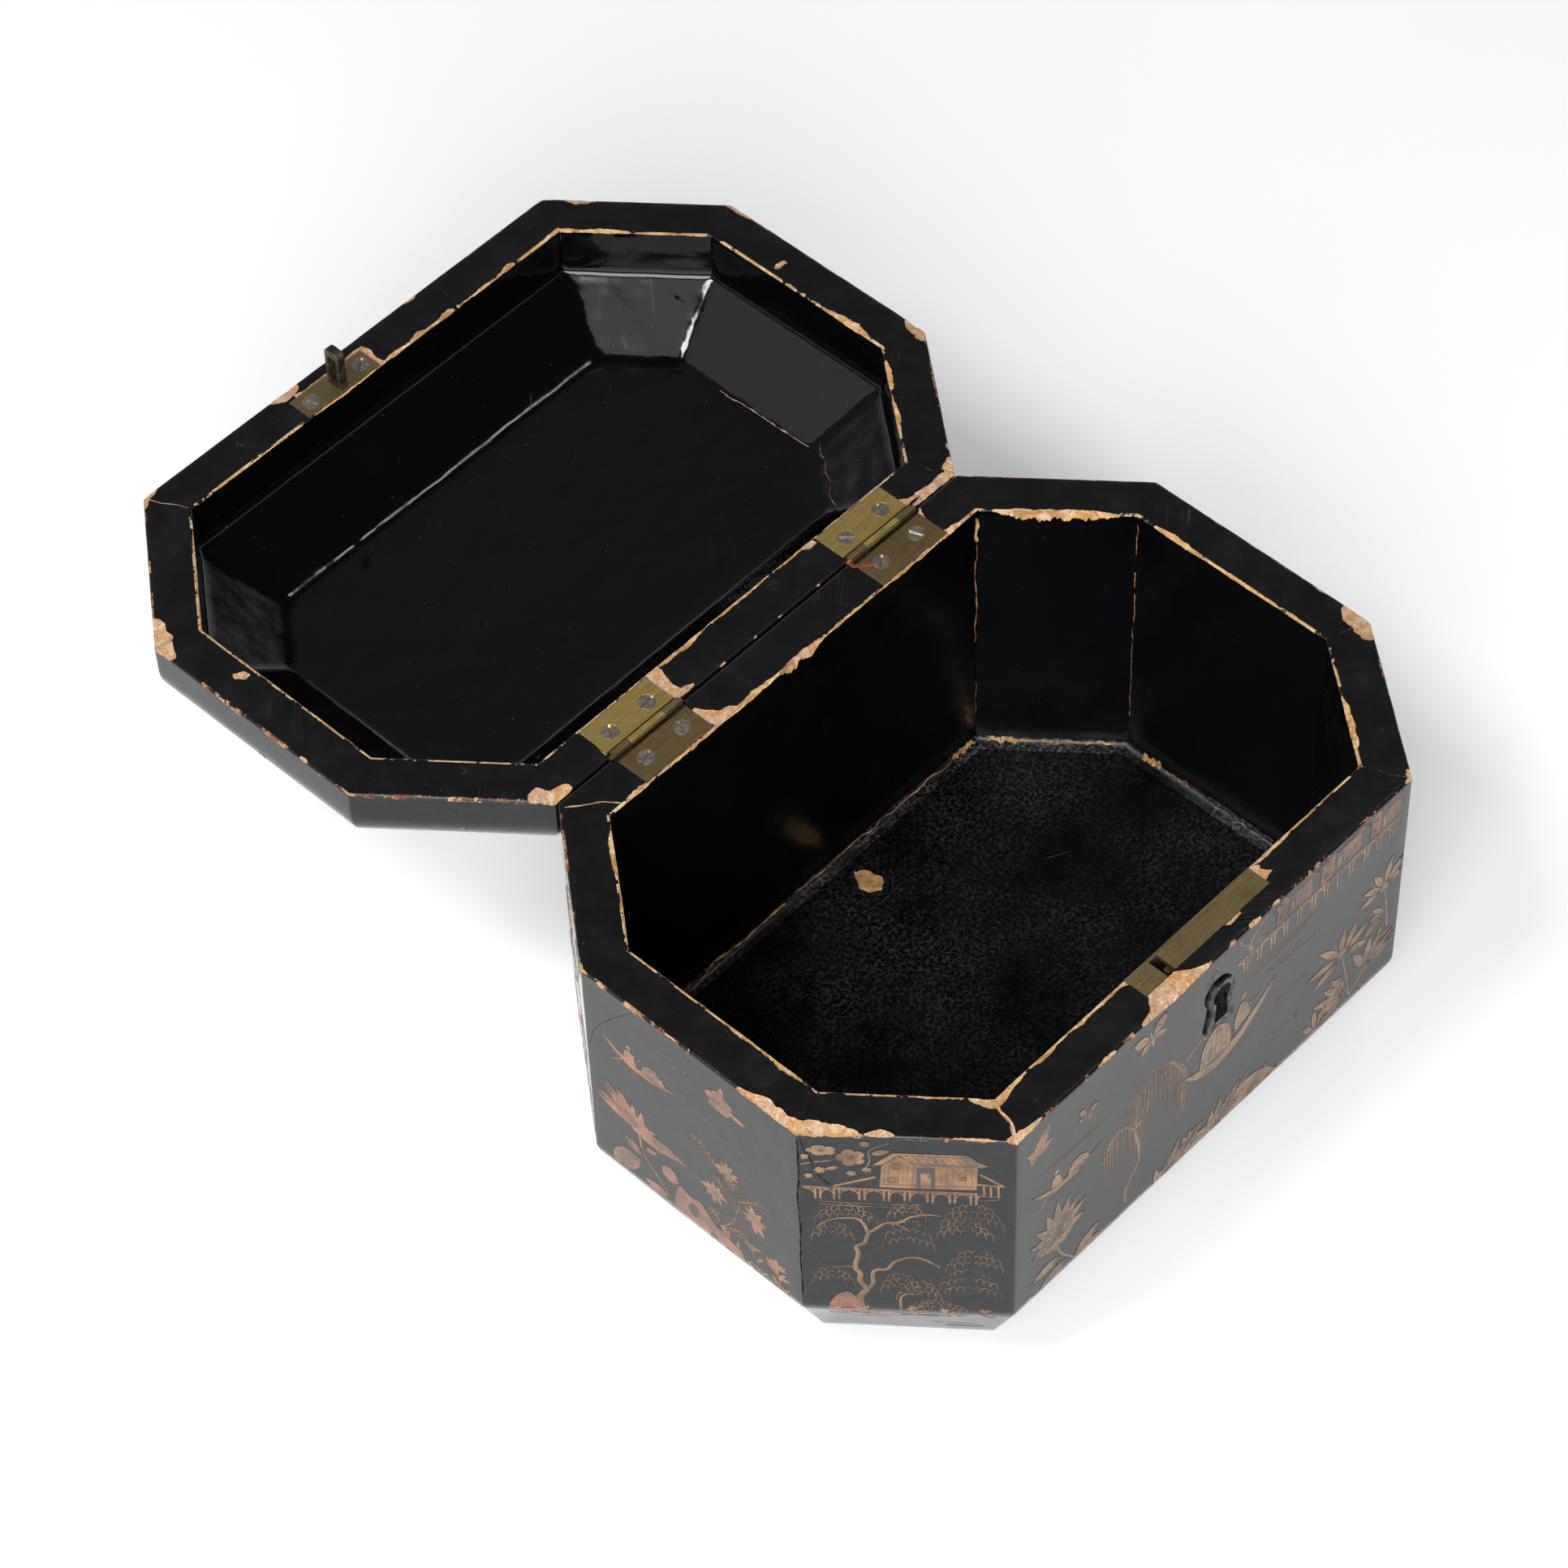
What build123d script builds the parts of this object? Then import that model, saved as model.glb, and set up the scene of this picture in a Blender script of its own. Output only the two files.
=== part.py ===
from build123d import *
from math import atan2, cos, hypot, radians, sin, tan
import os

# Eight-sided lacquered box: a body of mitred boards, a lid that turns fully back on two butt hinges,
# and a small let-in lock. Millimetres, +Z up. The origin is the middle of the underside.
# X runs along the length and the hinge line, the lock is at -Y and the hinges are at +Y.

# ---- body ----
LENGTH = 260.0
WIDTH = 185.0
BODY_HEIGHT = 120.0
CORNER_ALONG = 40.0          # how much of the length each corner wall takes
CORNER_ACROSS = 49.0         # how much of the width each corner wall takes
WALL = 15.0
FLOOR = 6.5
CANT_HEIGHT = 29.0           # height at which the walls start to lean in towards the foot
FOOT_LAND = 4.7              # width of wall that stands on the bottom board
BASE_ROUND = 10.0

# ---- lid ----
RIM_GAP = 0.3                # between the two rims when the lid is shut
RAIL_DEPTH = 19.0
LID_INSIDE_DEPTH = 35.0
PANEL = 8.0                  # thickness of the sloping boards and of the top board
TOP_INSET = 41.0             # from the outer face to the flat inside of the top
LID_ROUND = 14.0

# ---- hinges ----
HINGE_GAP = 0.35             # from the back face of the body to the hinge axis
HINGE_CENTRES = (-51.2, 54.9)
HINGE_NAMES = ("left", "right")
HINGE_LENGTH = 29.5
LEAF_WIDTH = 14.5
LEAF_THICK = 1.3
BARREL_RADIUS = 1.6
PIN_RADII = (0.75, 0.55)     # the left pin is a rod, the right one a piece of wire
PIN_STANDS_OUT = 0.9
END_KNUCKLE = 7.2
KNUCKLE_GAP = 0.15
RUNNING_CLEARANCE = 0.05     # radial, between a pin and the knuckle that turns on it
BARREL_CLEARANCE = 0.3
SEAT_CLEARANCE = 0.15        # round a plate let into the wood
HINGE_SCREW_SPACING = 16.0
HINGE_SCREW_FROM_AXIS = 7.5
BOX_SCREW_TURNS = ((20.0, 75.0), (40.0, 110.0))
LID_SCREW_TURNS = ((55.0, 5.0), (130.0, 70.0))
WIRE_TAIL = 0.25             # thickness of the flattened end of the wire
WIRE_TAIL_WIDTH = 1.1
WIRE_TAIL_RUN = (6.0, -4.2)  # along the leaf and away from the barrel

# ---- wood screws ----
SCREW_HEAD = 2.9
SCREW_LIP = 0.25
SCREW_SHANK = 1.2
SCREW_LENGTH = 10.0
SCREW_TIP = 2.5
SCREW_SLOT = 0.8
SCREW_SLOT_DEPTH = 0.7
SINK_CLEARANCE = 0.05

# ---- striker on the lid ----
STAPLE_X = -14.1
STAPLE_SETBACK = 4.6         # from the inside of the front wall to the middle of the staple
STAPLE_THICK = 2.8
STAPLE_WIDTH = 6.4
STAPLE_HEIGHT = 16.0
STAPLE_ROUND = 2.0
STAPLE_BAR = 1.5
STAPLE_WINDOW = (1.5, 12.8)  # lowest and highest point above the plate
STRIKER_LEFT = -30.5
STRIKER_LENGTH = 31.5
STRIKER_WIDTH = 9.6
STRIKER_SETBACK = 0.6        # wood left between the plate and the inner edge
STRIKER_THICK = 1.4
STRIKER_SCREWS = ((-25.4, 105.0), (-3.2, 35.0))

# ---- lock in the front wall ----
FACE_LEFT = -25.7
FACE_LENGTH = 56.2
FACE_WIDTH = 8.5
FACE_THICK = 1.6
FACE_SLOT = 3.9
BACK_HEIGHT = 38.0
BACK_THICK = 1.0
CASE_MARGIN = 3.2            # from the ends of the face plate to the case
CASE_BOTTOM = 36.0           # below the rim
CASE_DEPTH = 9.5
CASE_SHEET = 0.8
BOLT_THROW = 5.0
BOLT_REST_GAP = 1.0          # from the drawn-back bolt to the staple
BOLT_LENGTH = 32.0
BOLT_THICK = 2.4
BOLT_HEIGHT = 5.0
BOLT_TOP = 5.5               # below the rim
BOLT_TAIL_WIDTH = 11.0
BOLT_TAIL = 5.5
TALON_WIDTH = 4.0
TALON_DEPTH = 3.0
STUD_X = (-4.0, 11.0)
STUD_RADIUS = 1.0
STUD_COLLAR = 2.2
STUD_CLEARANCE = 0.15
SHOULDER_GAP = 0.2
SPRING_THICK = 0.5
SPRING_LEG = 6.5
SPRING_REACH = 18.0
SPRING_TOP = 2.4             # below the rim
SPRING_GAP = 0.2             # above the bolt
NAIL_RADIUS = 0.7
NAIL_LENGTH = 7.0
NAIL_INSET = 1.6

# ---- keyhole ----
KEY_X = 1.2
KEY_DEPTH = 19.2             # below the rim
KEY_PIN_RADIUS = 1.2
KEY_PIN_LENGTH = 9.0
ESCUTCHEON_THICK = 1.5
ESCUTCHEON_SUNK = 0.5
ESCUTCHEON_EDGE = 0.4
ESCUTCHEON_OUTLINE = (6.2, 4.9, 6.4, 15.3)   # round radius, half waist, half foot, drop to the foot
KEYHOLE_OUTLINE = (3.9, 2.6, 2.9, 12.3)
CASE_KEYHOLE_OUTLINE = (3.0, 1.4, 1.4, 10.0)

# ---- worked out ----
HALF_LENGTH = LENGTH / 2
HALF_WIDTH = WIDTH / 2
LID_RIM = BODY_HEIGHT + RIM_GAP
AXIS_Y = HALF_WIDTH + HINGE_GAP
AXIS_Z = BODY_HEIGHT + RIM_GAP / 2
FRONT_INSIDE = -HALF_WIDTH + WALL
STAPLE_Y = FRONT_INSIDE - STAPLE_SETBACK
TALL = BODY_HEIGHT + LENGTH  # more than any height here
FACE_RIGHT = FACE_LEFT + FACE_LENGTH
CASE_BACK = FRONT_INSIDE - BACK_THICK
CASE_FRONT = CASE_BACK - CASE_DEPTH
CASE_TOP = BODY_HEIGHT - FACE_THICK
CASE_LEFT = FACE_LEFT + CASE_MARGIN
CASE_RIGHT = FACE_RIGHT - CASE_MARGIN
KEY_Z = BODY_HEIGHT - KEY_DEPTH
BOLT_LEFT = STAPLE_X + STAPLE_THICK / 2 + BOLT_REST_GAP
BOLT_Z = BODY_HEIGHT - BOLT_TOP - BOLT_HEIGHT / 2


# ---- shared shapes ----
def side_list():
    """Name, outward direction and distance of each of the eight sides, anticlockwise from the front."""
    slant = hypot(CORNER_ALONG, CORNER_ACROSS)
    nx, ny = CORNER_ACROSS / slant, CORNER_ALONG / slant
    reach = nx * HALF_LENGTH + ny * (HALF_WIDTH - CORNER_ACROSS)
    return [
        ("front", (0, -1), HALF_WIDTH),
        ("front_right", (nx, -ny), reach),
        ("right_end", (1, 0), HALF_LENGTH),
        ("back_right", (nx, ny), reach),
        ("back", (0, 1), HALF_WIDTH),
        ("back_left", (-nx, ny), reach),
        ("left_end", (-1, 0), HALF_LENGTH),
        ("front_left", (-nx, -ny), reach),
    ]


SIDES = side_list()


def corner(index, inset):
    """Where side index meets the next side, with every side moved in by inset."""
    _, (ax, ay), a_reach = SIDES[index % 8]
    _, (bx, by), b_reach = SIDES[(index + 1) % 8]
    a, b = a_reach - inset, b_reach - inset
    cross = ax * by - ay * bx
    return ((a * by - b * ay) / cross, (ax * b - bx * a) / cross)


def octagon(inset, height):
    """The eight-sided outline as a face, moved in by inset, at the given height."""
    return Pos(0, 0, height) * Polygon(*[corner(i, inset) for i in range(8)], align=None)


def board(index, section):
    """A mitred board: a section of (inset, height) run along one side and cut at its two corners."""
    _, (nx, ny), reach = SIDES[index]
    inward = Vector(-nx, -ny, 0)
    plane = Plane(origin=(nx * reach, ny * reach, 0), x_dir=inward, z_dir=inward.cross(Vector(0, 0, 1)))
    run = extrude(plane * section, amount=LENGTH, both=True)
    deep = TOP_INSET + PANEL
    mitres = Polygon(corner(index - 1, -1), corner(index, -1), corner(index, deep), corner(index - 1, deep),
                     align=None)
    return run & extrude(mitres, amount=TALL)


def block(x0, x1, y0, y1, z0, z1):
    """A box between the given limits."""
    return Pos((x0 + x1) / 2, (y0 + y1) / 2, (z0 + z1) / 2) * Box(abs(x1 - x0), abs(y1 - y0), abs(z1 - z0))


def rod_x(radius, x0, x1, y, z):
    """A cylinder along X."""
    return Pos((x0 + x1) / 2, y, z) * Rot(0, 90, 0) * Cylinder(radius, x1 - x0)


def rod_y(radius, y0, y1, x, z):
    """A cylinder along Y."""
    return Pos(x, (y0 + y1) / 2, z) * Rot(90, 0, 0) * Cylinder(radius, abs(y1 - y0))


def rounded_at(section, point, radius):
    """The section with its corner nearest to point rounded."""
    return fillet(section.vertices().sort_by_distance((*point, 0))[0], radius)


def turned_back(piece):
    """A piece drawn with the lid shut, moved to where it lies with the lid fully open."""
    return piece.rotate(Axis((0, AXIS_Y, AXIS_Z), (1, 0, 0)), 180)


# ---- screws and nails ----
def screw_blank(clearance=0.0):
    """A countersunk screw without its slot, pointing down, its head level with the origin."""
    head = SCREW_HEAD + clearance
    shank = SCREW_SHANK + clearance
    cone_end = SCREW_LIP + head - shank
    profile = Polygon((0, 0), (head, 0), (head, -SCREW_LIP), (shank, -cone_end),
                      (shank, -(SCREW_LENGTH - SCREW_TIP)), (0, -SCREW_LENGTH), align=None)
    return revolve(Plane.XZ * profile, axis=Axis.Z)


def screw(turn):
    """A slotted countersunk screw, its slot turned by an angle."""
    slot = Pos(0, 0, -SCREW_SLOT_DEPTH / 2) * Box(2 * SCREW_HEAD + 1, SCREW_SLOT, SCREW_SLOT_DEPTH)
    return screw_blank() - Rot(0, 0, turn) * slot


# ---- hinges ----
def screw_spots(centre):
    """The two screws of a hinge leaf, in the box's plan."""
    y = AXIS_Y - HINGE_SCREW_FROM_AXIS
    return [(centre - HINGE_SCREW_SPACING / 2, y), (centre + HINGE_SCREW_SPACING / 2, y)]


def knuckle_spans(centre):
    """The two end knuckles, and the long one between them, as spans along X."""
    left, right = centre - HINGE_LENGTH / 2, centre + HINGE_LENGTH / 2
    ends = [(left, left + END_KNUCKLE), (right - END_KNUCKLE, right)]
    middle = [(left + END_KNUCKLE + KNUCKLE_GAP, right - END_KNUCKLE - KNUCKLE_GAP)]
    return ends, middle


def leaf(centre, own, other, bore, side):
    """A hinge leaf, drawn shut: side is -1 for the body's leaf and 1 for the lid's."""
    left, right = centre - HINGE_LENGTH / 2, centre + HINGE_LENGTH / 2
    near, far = AXIS_Z + side * RIM_GAP / 2, AXIS_Z + side * (RIM_GAP / 2 + LEAF_THICK)
    low, high = min(near, far), max(near, far)
    piece = block(left, right, AXIS_Y - LEAF_WIDTH, AXIS_Y, low, high)
    room = BARREL_RADIUS + BARREL_CLEARANCE
    for x0, x1 in other:
        piece -= block(x0 - KNUCKLE_GAP, x1 + KNUCKLE_GAP, AXIS_Y - room, AXIS_Y + room, low - 1, high + 1)
    for x0, x1 in own:
        piece += rod_x(BARREL_RADIUS, x0, x1, AXIS_Y, AXIS_Z)
    piece -= rod_x(bore, left - 1, right + 1, AXIS_Y, AXIS_Z)
    for x, y in screw_spots(centre):
        piece -= Pos(x, y, near) * facing(screw_blank(SINK_CLEARANCE), side)
    return piece


def facing(piece, side):
    """A screw that points down as it is for the body, and up for the lid."""
    return piece if side < 0 else Rot(180, 0, 0) * piece


def hinge_seat(centre, side):
    """What is cut out of the wood for a leaf, the barrel and the leaf's screws, drawn shut."""
    left, right = centre - HINGE_LENGTH / 2, centre + HINGE_LENGTH / 2
    near, far = AXIS_Z + side * RIM_GAP / 2, AXIS_Z + side * (RIM_GAP / 2 + LEAF_THICK)
    low, high = min(near - side, far), max(near - side, far)
    seat = block(left - SEAT_CLEARANCE, right + SEAT_CLEARANCE,
                 AXIS_Y - LEAF_WIDTH - SEAT_CLEARANCE, AXIS_Y + WALL, low, high)
    ends = PIN_STANDS_OUT + BARREL_CLEARANCE
    seat += rod_x(BARREL_RADIUS + BARREL_CLEARANCE, left - ends, right + ends, AXIS_Y, AXIS_Z)
    for x, y in screw_spots(centre):
        seat += Pos(x, y, near) * facing(screw_blank(), side)
    return seat


def hinge_pin(centre, radius):
    """A plain pin along the barrel."""
    half = HINGE_LENGTH / 2 + PIN_STANDS_OUT
    return rod_x(radius, centre - half, centre + half, AXIS_Y, AXIS_Z)


def wire_tail(centre):
    """The flattened end of the wire, bent round the barrel's end and laid over the body's leaf."""
    x = centre - HINGE_LENGTH / 2 - PIN_STANDS_OUT / 2 - SEAT_CLEARANCE
    y = AXIS_Y - BARREL_RADIUS - BARREL_CLEARANCE - WIRE_TAIL_WIDTH / 2
    path = Polyline((x, AXIS_Y), (x, y), (x + WIRE_TAIL_RUN[0], y + WIRE_TAIL_RUN[1]))
    return extrude(Pos(0, 0, BODY_HEIGHT) * trace(path, WIRE_TAIL_WIDTH), amount=WIRE_TAIL)


# ---- keyhole ----
def keyhole_face(outline):
    """A round top that runs down into a flared foot, drawn about the key's centre."""
    radius, waist, foot, drop = outline
    skirt = Polygon((-waist, 0), (-waist, -radius), (-foot, -drop),
                    (foot, -drop), (waist, -radius), (waist, 0), align=None)
    return Circle(radius) + skirt


def keyhole_solid(outline, y_front, y_back):
    """The keyhole outline standing on the front wall, from y_front back to y_back."""
    plane = Plane(origin=(KEY_X, y_front, KEY_Z), x_dir=(1, 0, 0), z_dir=(0, -1, 0))
    return extrude(plane * keyhole_face(outline), amount=y_front - y_back)


# ---- body pieces ----
def foot_inset(height):
    """How far the outside of the body is drawn in at a height below the cant."""
    return (WALL - FOOT_LAND) * (CANT_HEIGHT - height) / (CANT_HEIGHT - FLOOR)


def wall_section():
    """A body wall: upright, with a rounded turn into the cant at its foot."""
    section = Polygon((0, BODY_HEIGHT), (0, CANT_HEIGHT), (foot_inset(FLOOR), FLOOR), (WALL, FLOOR),
                      (WALL, BODY_HEIGHT), align=None)
    return rounded_at(section, (0, CANT_HEIGHT), BASE_ROUND)


def bottom_board():
    """The bottom, its edge carrying the cant of the walls down to the foot."""
    return loft([octagon(foot_inset(0), 0), octagon(foot_inset(FLOOR), FLOOR)], ruled=True)


def nail_spots():
    """The two nails through the lock's face plate and the two through its back plate."""
    xs = (FACE_LEFT + NAIL_INSET, FACE_RIGHT - NAIL_INSET)
    return xs, STAPLE_Y, BODY_HEIGHT - BACK_HEIGHT + NAIL_INSET


def lock_nails():
    """Four small nails that hold the lock in the wall."""
    xs, y, z = nail_spots()
    nails = []
    for x in xs:
        nails.append(Pos(x, y, BODY_HEIGHT - NAIL_LENGTH / 2) * Cylinder(NAIL_RADIUS, NAIL_LENGTH))
        nails.append(rod_y(NAIL_RADIUS, FRONT_INSIDE, FRONT_INSIDE - NAIL_LENGTH, x, z))
    return nails


def lock_seat():
    """What is cut out of the front wall for the lock, its nails and the keyhole."""
    gap = SEAT_CLEARANCE
    seat = block(FACE_LEFT - gap, FACE_RIGHT + gap, FRONT_INSIDE + 1, FRONT_INSIDE - FACE_WIDTH - gap,
                 BODY_HEIGHT - FACE_THICK, BODY_HEIGHT + 1)
    seat += block(FACE_LEFT - gap, FACE_RIGHT + gap, FRONT_INSIDE + 1, FRONT_INSIDE - BACK_THICK,
                  BODY_HEIGHT - BACK_HEIGHT - gap, BODY_HEIGHT + 1)
    seat += block(CASE_LEFT - gap, CASE_RIGHT + gap, CASE_BACK + gap, CASE_FRONT - gap,
                  BODY_HEIGHT - CASE_BOTTOM - gap, BODY_HEIGHT - FACE_THICK + gap)
    seat += keyhole_solid(KEYHOLE_OUTLINE, -HALF_WIDTH - 1, CASE_FRONT)
    seat += keyhole_solid(ESCUTCHEON_OUTLINE, -HALF_WIDTH - 1, -HALF_WIDTH + ESCUTCHEON_SUNK)
    for nail in lock_nails():
        seat += nail
    return seat


# ---- lid pieces, drawn shut ----
def lid_profile():
    """Slope of the lid's boards, and where their outer line meets the side and the top."""
    slope = atan2(LID_INSIDE_DEPTH - RAIL_DEPTH, TOP_INSET - WALL)
    shoulder = RAIL_DEPTH + PANEL / cos(slope) - WALL * tan(slope)
    crown = (LID_INSIDE_DEPTH + PANEL - shoulder) / tan(slope)
    return shoulder, crown


def lid_sections():
    """The rim rail and the sloping board above it."""
    shoulder, crown = lid_profile()
    points = [(0, 0), (0, shoulder), (crown, LID_INSIDE_DEPTH + PANEL), (TOP_INSET, LID_INSIDE_DEPTH),
              (WALL, RAIL_DEPTH), (WALL, 0)]
    whole = rounded_at(Polygon(*points, align=None), (0, shoulder), LID_ROUND)
    below = Pos(0, RAIL_DEPTH / 2) * Rectangle(3 * TOP_INSET, RAIL_DEPTH)
    return Pos(0, LID_RIM) * (whole & below), Pos(0, LID_RIM) * (whole - below)


def top_board():
    """The flat top, its edge cut to meet the sloping boards."""
    _, crown = lid_profile()
    inside = octagon(TOP_INSET, LID_RIM + LID_INSIDE_DEPTH)
    outside = octagon(crown, LID_RIM + LID_INSIDE_DEPTH + PANEL)
    return loft([inside, outside], ruled=True)


def striker_plate():
    """The flat plate let into the lid's front rail, with countersunk screw holes."""
    y0 = FRONT_INSIDE - STRIKER_SETBACK
    plate = block(STRIKER_LEFT, STRIKER_LEFT + STRIKER_LENGTH, y0, y0 - STRIKER_WIDTH,
                  LID_RIM, LID_RIM + STRIKER_THICK)
    for x, _ in STRIKER_SCREWS:
        plate -= Pos(x, y0 - STRIKER_WIDTH / 2, LID_RIM) * facing(screw_blank(SINK_CLEARANCE), 1)
    return plate


def striker_seat():
    """What is cut out of the lid's front rail for the striker plate and its screws."""
    gap = SEAT_CLEARANCE
    y0 = FRONT_INSIDE - STRIKER_SETBACK
    seat = block(STRIKER_LEFT - gap, STRIKER_LEFT + STRIKER_LENGTH + gap, y0 + gap, y0 - STRIKER_WIDTH - gap,
                 LID_RIM - 1, LID_RIM + STRIKER_THICK)
    for x, _ in STRIKER_SCREWS:
        seat += Pos(x, y0 - STRIKER_WIDTH / 2, LID_RIM) * facing(screw_blank(), 1)
    return seat


def staple():
    """The loop that drops through the lock's slot, with a window for the bolt."""
    plane = Plane(origin=(STAPLE_X - STAPLE_THICK / 2, STAPLE_Y, LID_RIM), x_dir=(0, 1, 0), z_dir=(1, 0, 0))
    half = STAPLE_WIDTH / 2
    outline = Pos(0, -STAPLE_HEIGHT / 2) * Rectangle(STAPLE_WIDTH, STAPLE_HEIGHT)
    tips = outline.vertices().sort_by(Axis.Y)[:2]
    outline = fillet(tips, STAPLE_ROUND)
    low, high = STAPLE_WINDOW
    window = Pos(0, -(low + high) / 2) * Rectangle(STAPLE_WIDTH - 2 * STAPLE_BAR, high - low)
    return extrude(plane * (outline - window), amount=STAPLE_THICK)


# ---- lock pieces ----
def lock_plate():
    """The face plate in the rim and the back plate inside the wall, in one piece."""
    plate = block(FACE_LEFT, FACE_RIGHT, FRONT_INSIDE, FRONT_INSIDE - FACE_WIDTH,
                  BODY_HEIGHT - FACE_THICK, BODY_HEIGHT)
    plate += block(FACE_LEFT, FACE_RIGHT, FRONT_INSIDE, FRONT_INSIDE - BACK_THICK,
                   BODY_HEIGHT - BACK_HEIGHT, BODY_HEIGHT)
    plate -= block(STAPLE_X - FACE_SLOT / 2, STAPLE_X + FACE_SLOT / 2, CASE_BACK,
                   FRONT_INSIDE - FACE_WIDTH - 1, BODY_HEIGHT - FACE_THICK, BODY_HEIGHT + 1)
    for nail in lock_nails():
        plate -= nail
    return plate


def lock_case():
    """The tray let into the wall, open to the back plate, with a key slot in its front."""
    low = BODY_HEIGHT - CASE_BOTTOM
    case = block(CASE_LEFT, CASE_RIGHT, CASE_BACK, CASE_FRONT, low, CASE_TOP)
    case -= block(CASE_LEFT + CASE_SHEET, CASE_RIGHT - CASE_SHEET, CASE_BACK + 1, CASE_FRONT + CASE_SHEET,
                  low + CASE_SHEET, CASE_TOP + 1)
    return case - keyhole_solid(CASE_KEYHOLE_OUTLINE, CASE_FRONT - 1, CASE_FRONT + CASE_SHEET + 1)


def bolt():
    """The sliding bolt, drawn back, with slots for its studs and a talon for the key."""
    y0, y1 = STAPLE_Y - BOLT_THICK / 2, STAPLE_Y + BOLT_THICK / 2
    low, high = BOLT_Z - BOLT_HEIGHT / 2, BOLT_Z + BOLT_HEIGHT / 2
    piece = block(BOLT_LEFT, BOLT_LEFT + BOLT_LENGTH, y0, y1, low, high)
    piece += block(KEY_X - BOLT_TAIL_WIDTH / 2, KEY_X + BOLT_TAIL_WIDTH / 2, y0, y1, low - BOLT_TAIL, low)
    piece -= block(KEY_X - TALON_WIDTH / 2, KEY_X + TALON_WIDTH / 2, y0 - 1, y1 + 1,
                   low - BOLT_TAIL - 1, low - BOLT_TAIL + TALON_DEPTH)
    slot_radius = STUD_RADIUS + STUD_CLEARANCE
    for x in STUD_X:
        for end in (x, x + BOLT_THROW):
            piece -= rod_y(slot_radius, y0 - 1, y1 + 1, end, BOLT_Z)
        piece -= block(x, x + BOLT_THROW, y0 - 1, y1 + 1, BOLT_Z - slot_radius, BOLT_Z + slot_radius)
    return piece


def bolt_studs():
    """Two shouldered studs that guide the bolt."""
    shoulder = STAPLE_Y - BOLT_THICK / 2 - SHOULDER_GAP
    studs = []
    for x in STUD_X:
        stud = rod_y(STUD_RADIUS, CASE_FRONT + CASE_SHEET, CASE_BACK, x, BOLT_Z)
        studs.append(stud + rod_y(STUD_COLLAR, CASE_FRONT + CASE_SHEET, shoulder, x, BOLT_Z))
    return studs


def bolt_spring():
    """A leaf spring from the end of the case down to the top of the bolt."""
    right = CASE_RIGHT - CASE_SHEET
    top = BODY_HEIGHT - SPRING_TOP
    tip = BODY_HEIGHT - BOLT_TOP + SPRING_GAP
    points = [(right, top), (right, top - SPRING_LEG), (right - SPRING_THICK, top - SPRING_LEG),
              (right - SPRING_THICK, top - SPRING_THICK), (right - SPRING_REACH, tip),
              (right - SPRING_REACH, tip + SPRING_THICK)]
    plane = Plane(origin=(0, STAPLE_Y + BOLT_THICK / 2, 0), x_dir=(1, 0, 0), z_dir=(0, -1, 0))
    return extrude(plane * Polygon(*points, align=None), amount=BOLT_THICK)


def escutcheon():
    """The raised border round the keyhole."""
    front, back = -HALF_WIDTH + ESCUTCHEON_SUNK - ESCUTCHEON_THICK, -HALF_WIDTH + ESCUTCHEON_SUNK
    border = keyhole_solid(ESCUTCHEON_OUTLINE, front, back)
    rim = border.faces().sort_by(Axis.Y)[0].outer_wire().edges()
    border = fillet(rim, ESCUTCHEON_EDGE)
    return border - keyhole_solid(KEYHOLE_OUTLINE, front - 1, back + 1)


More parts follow.
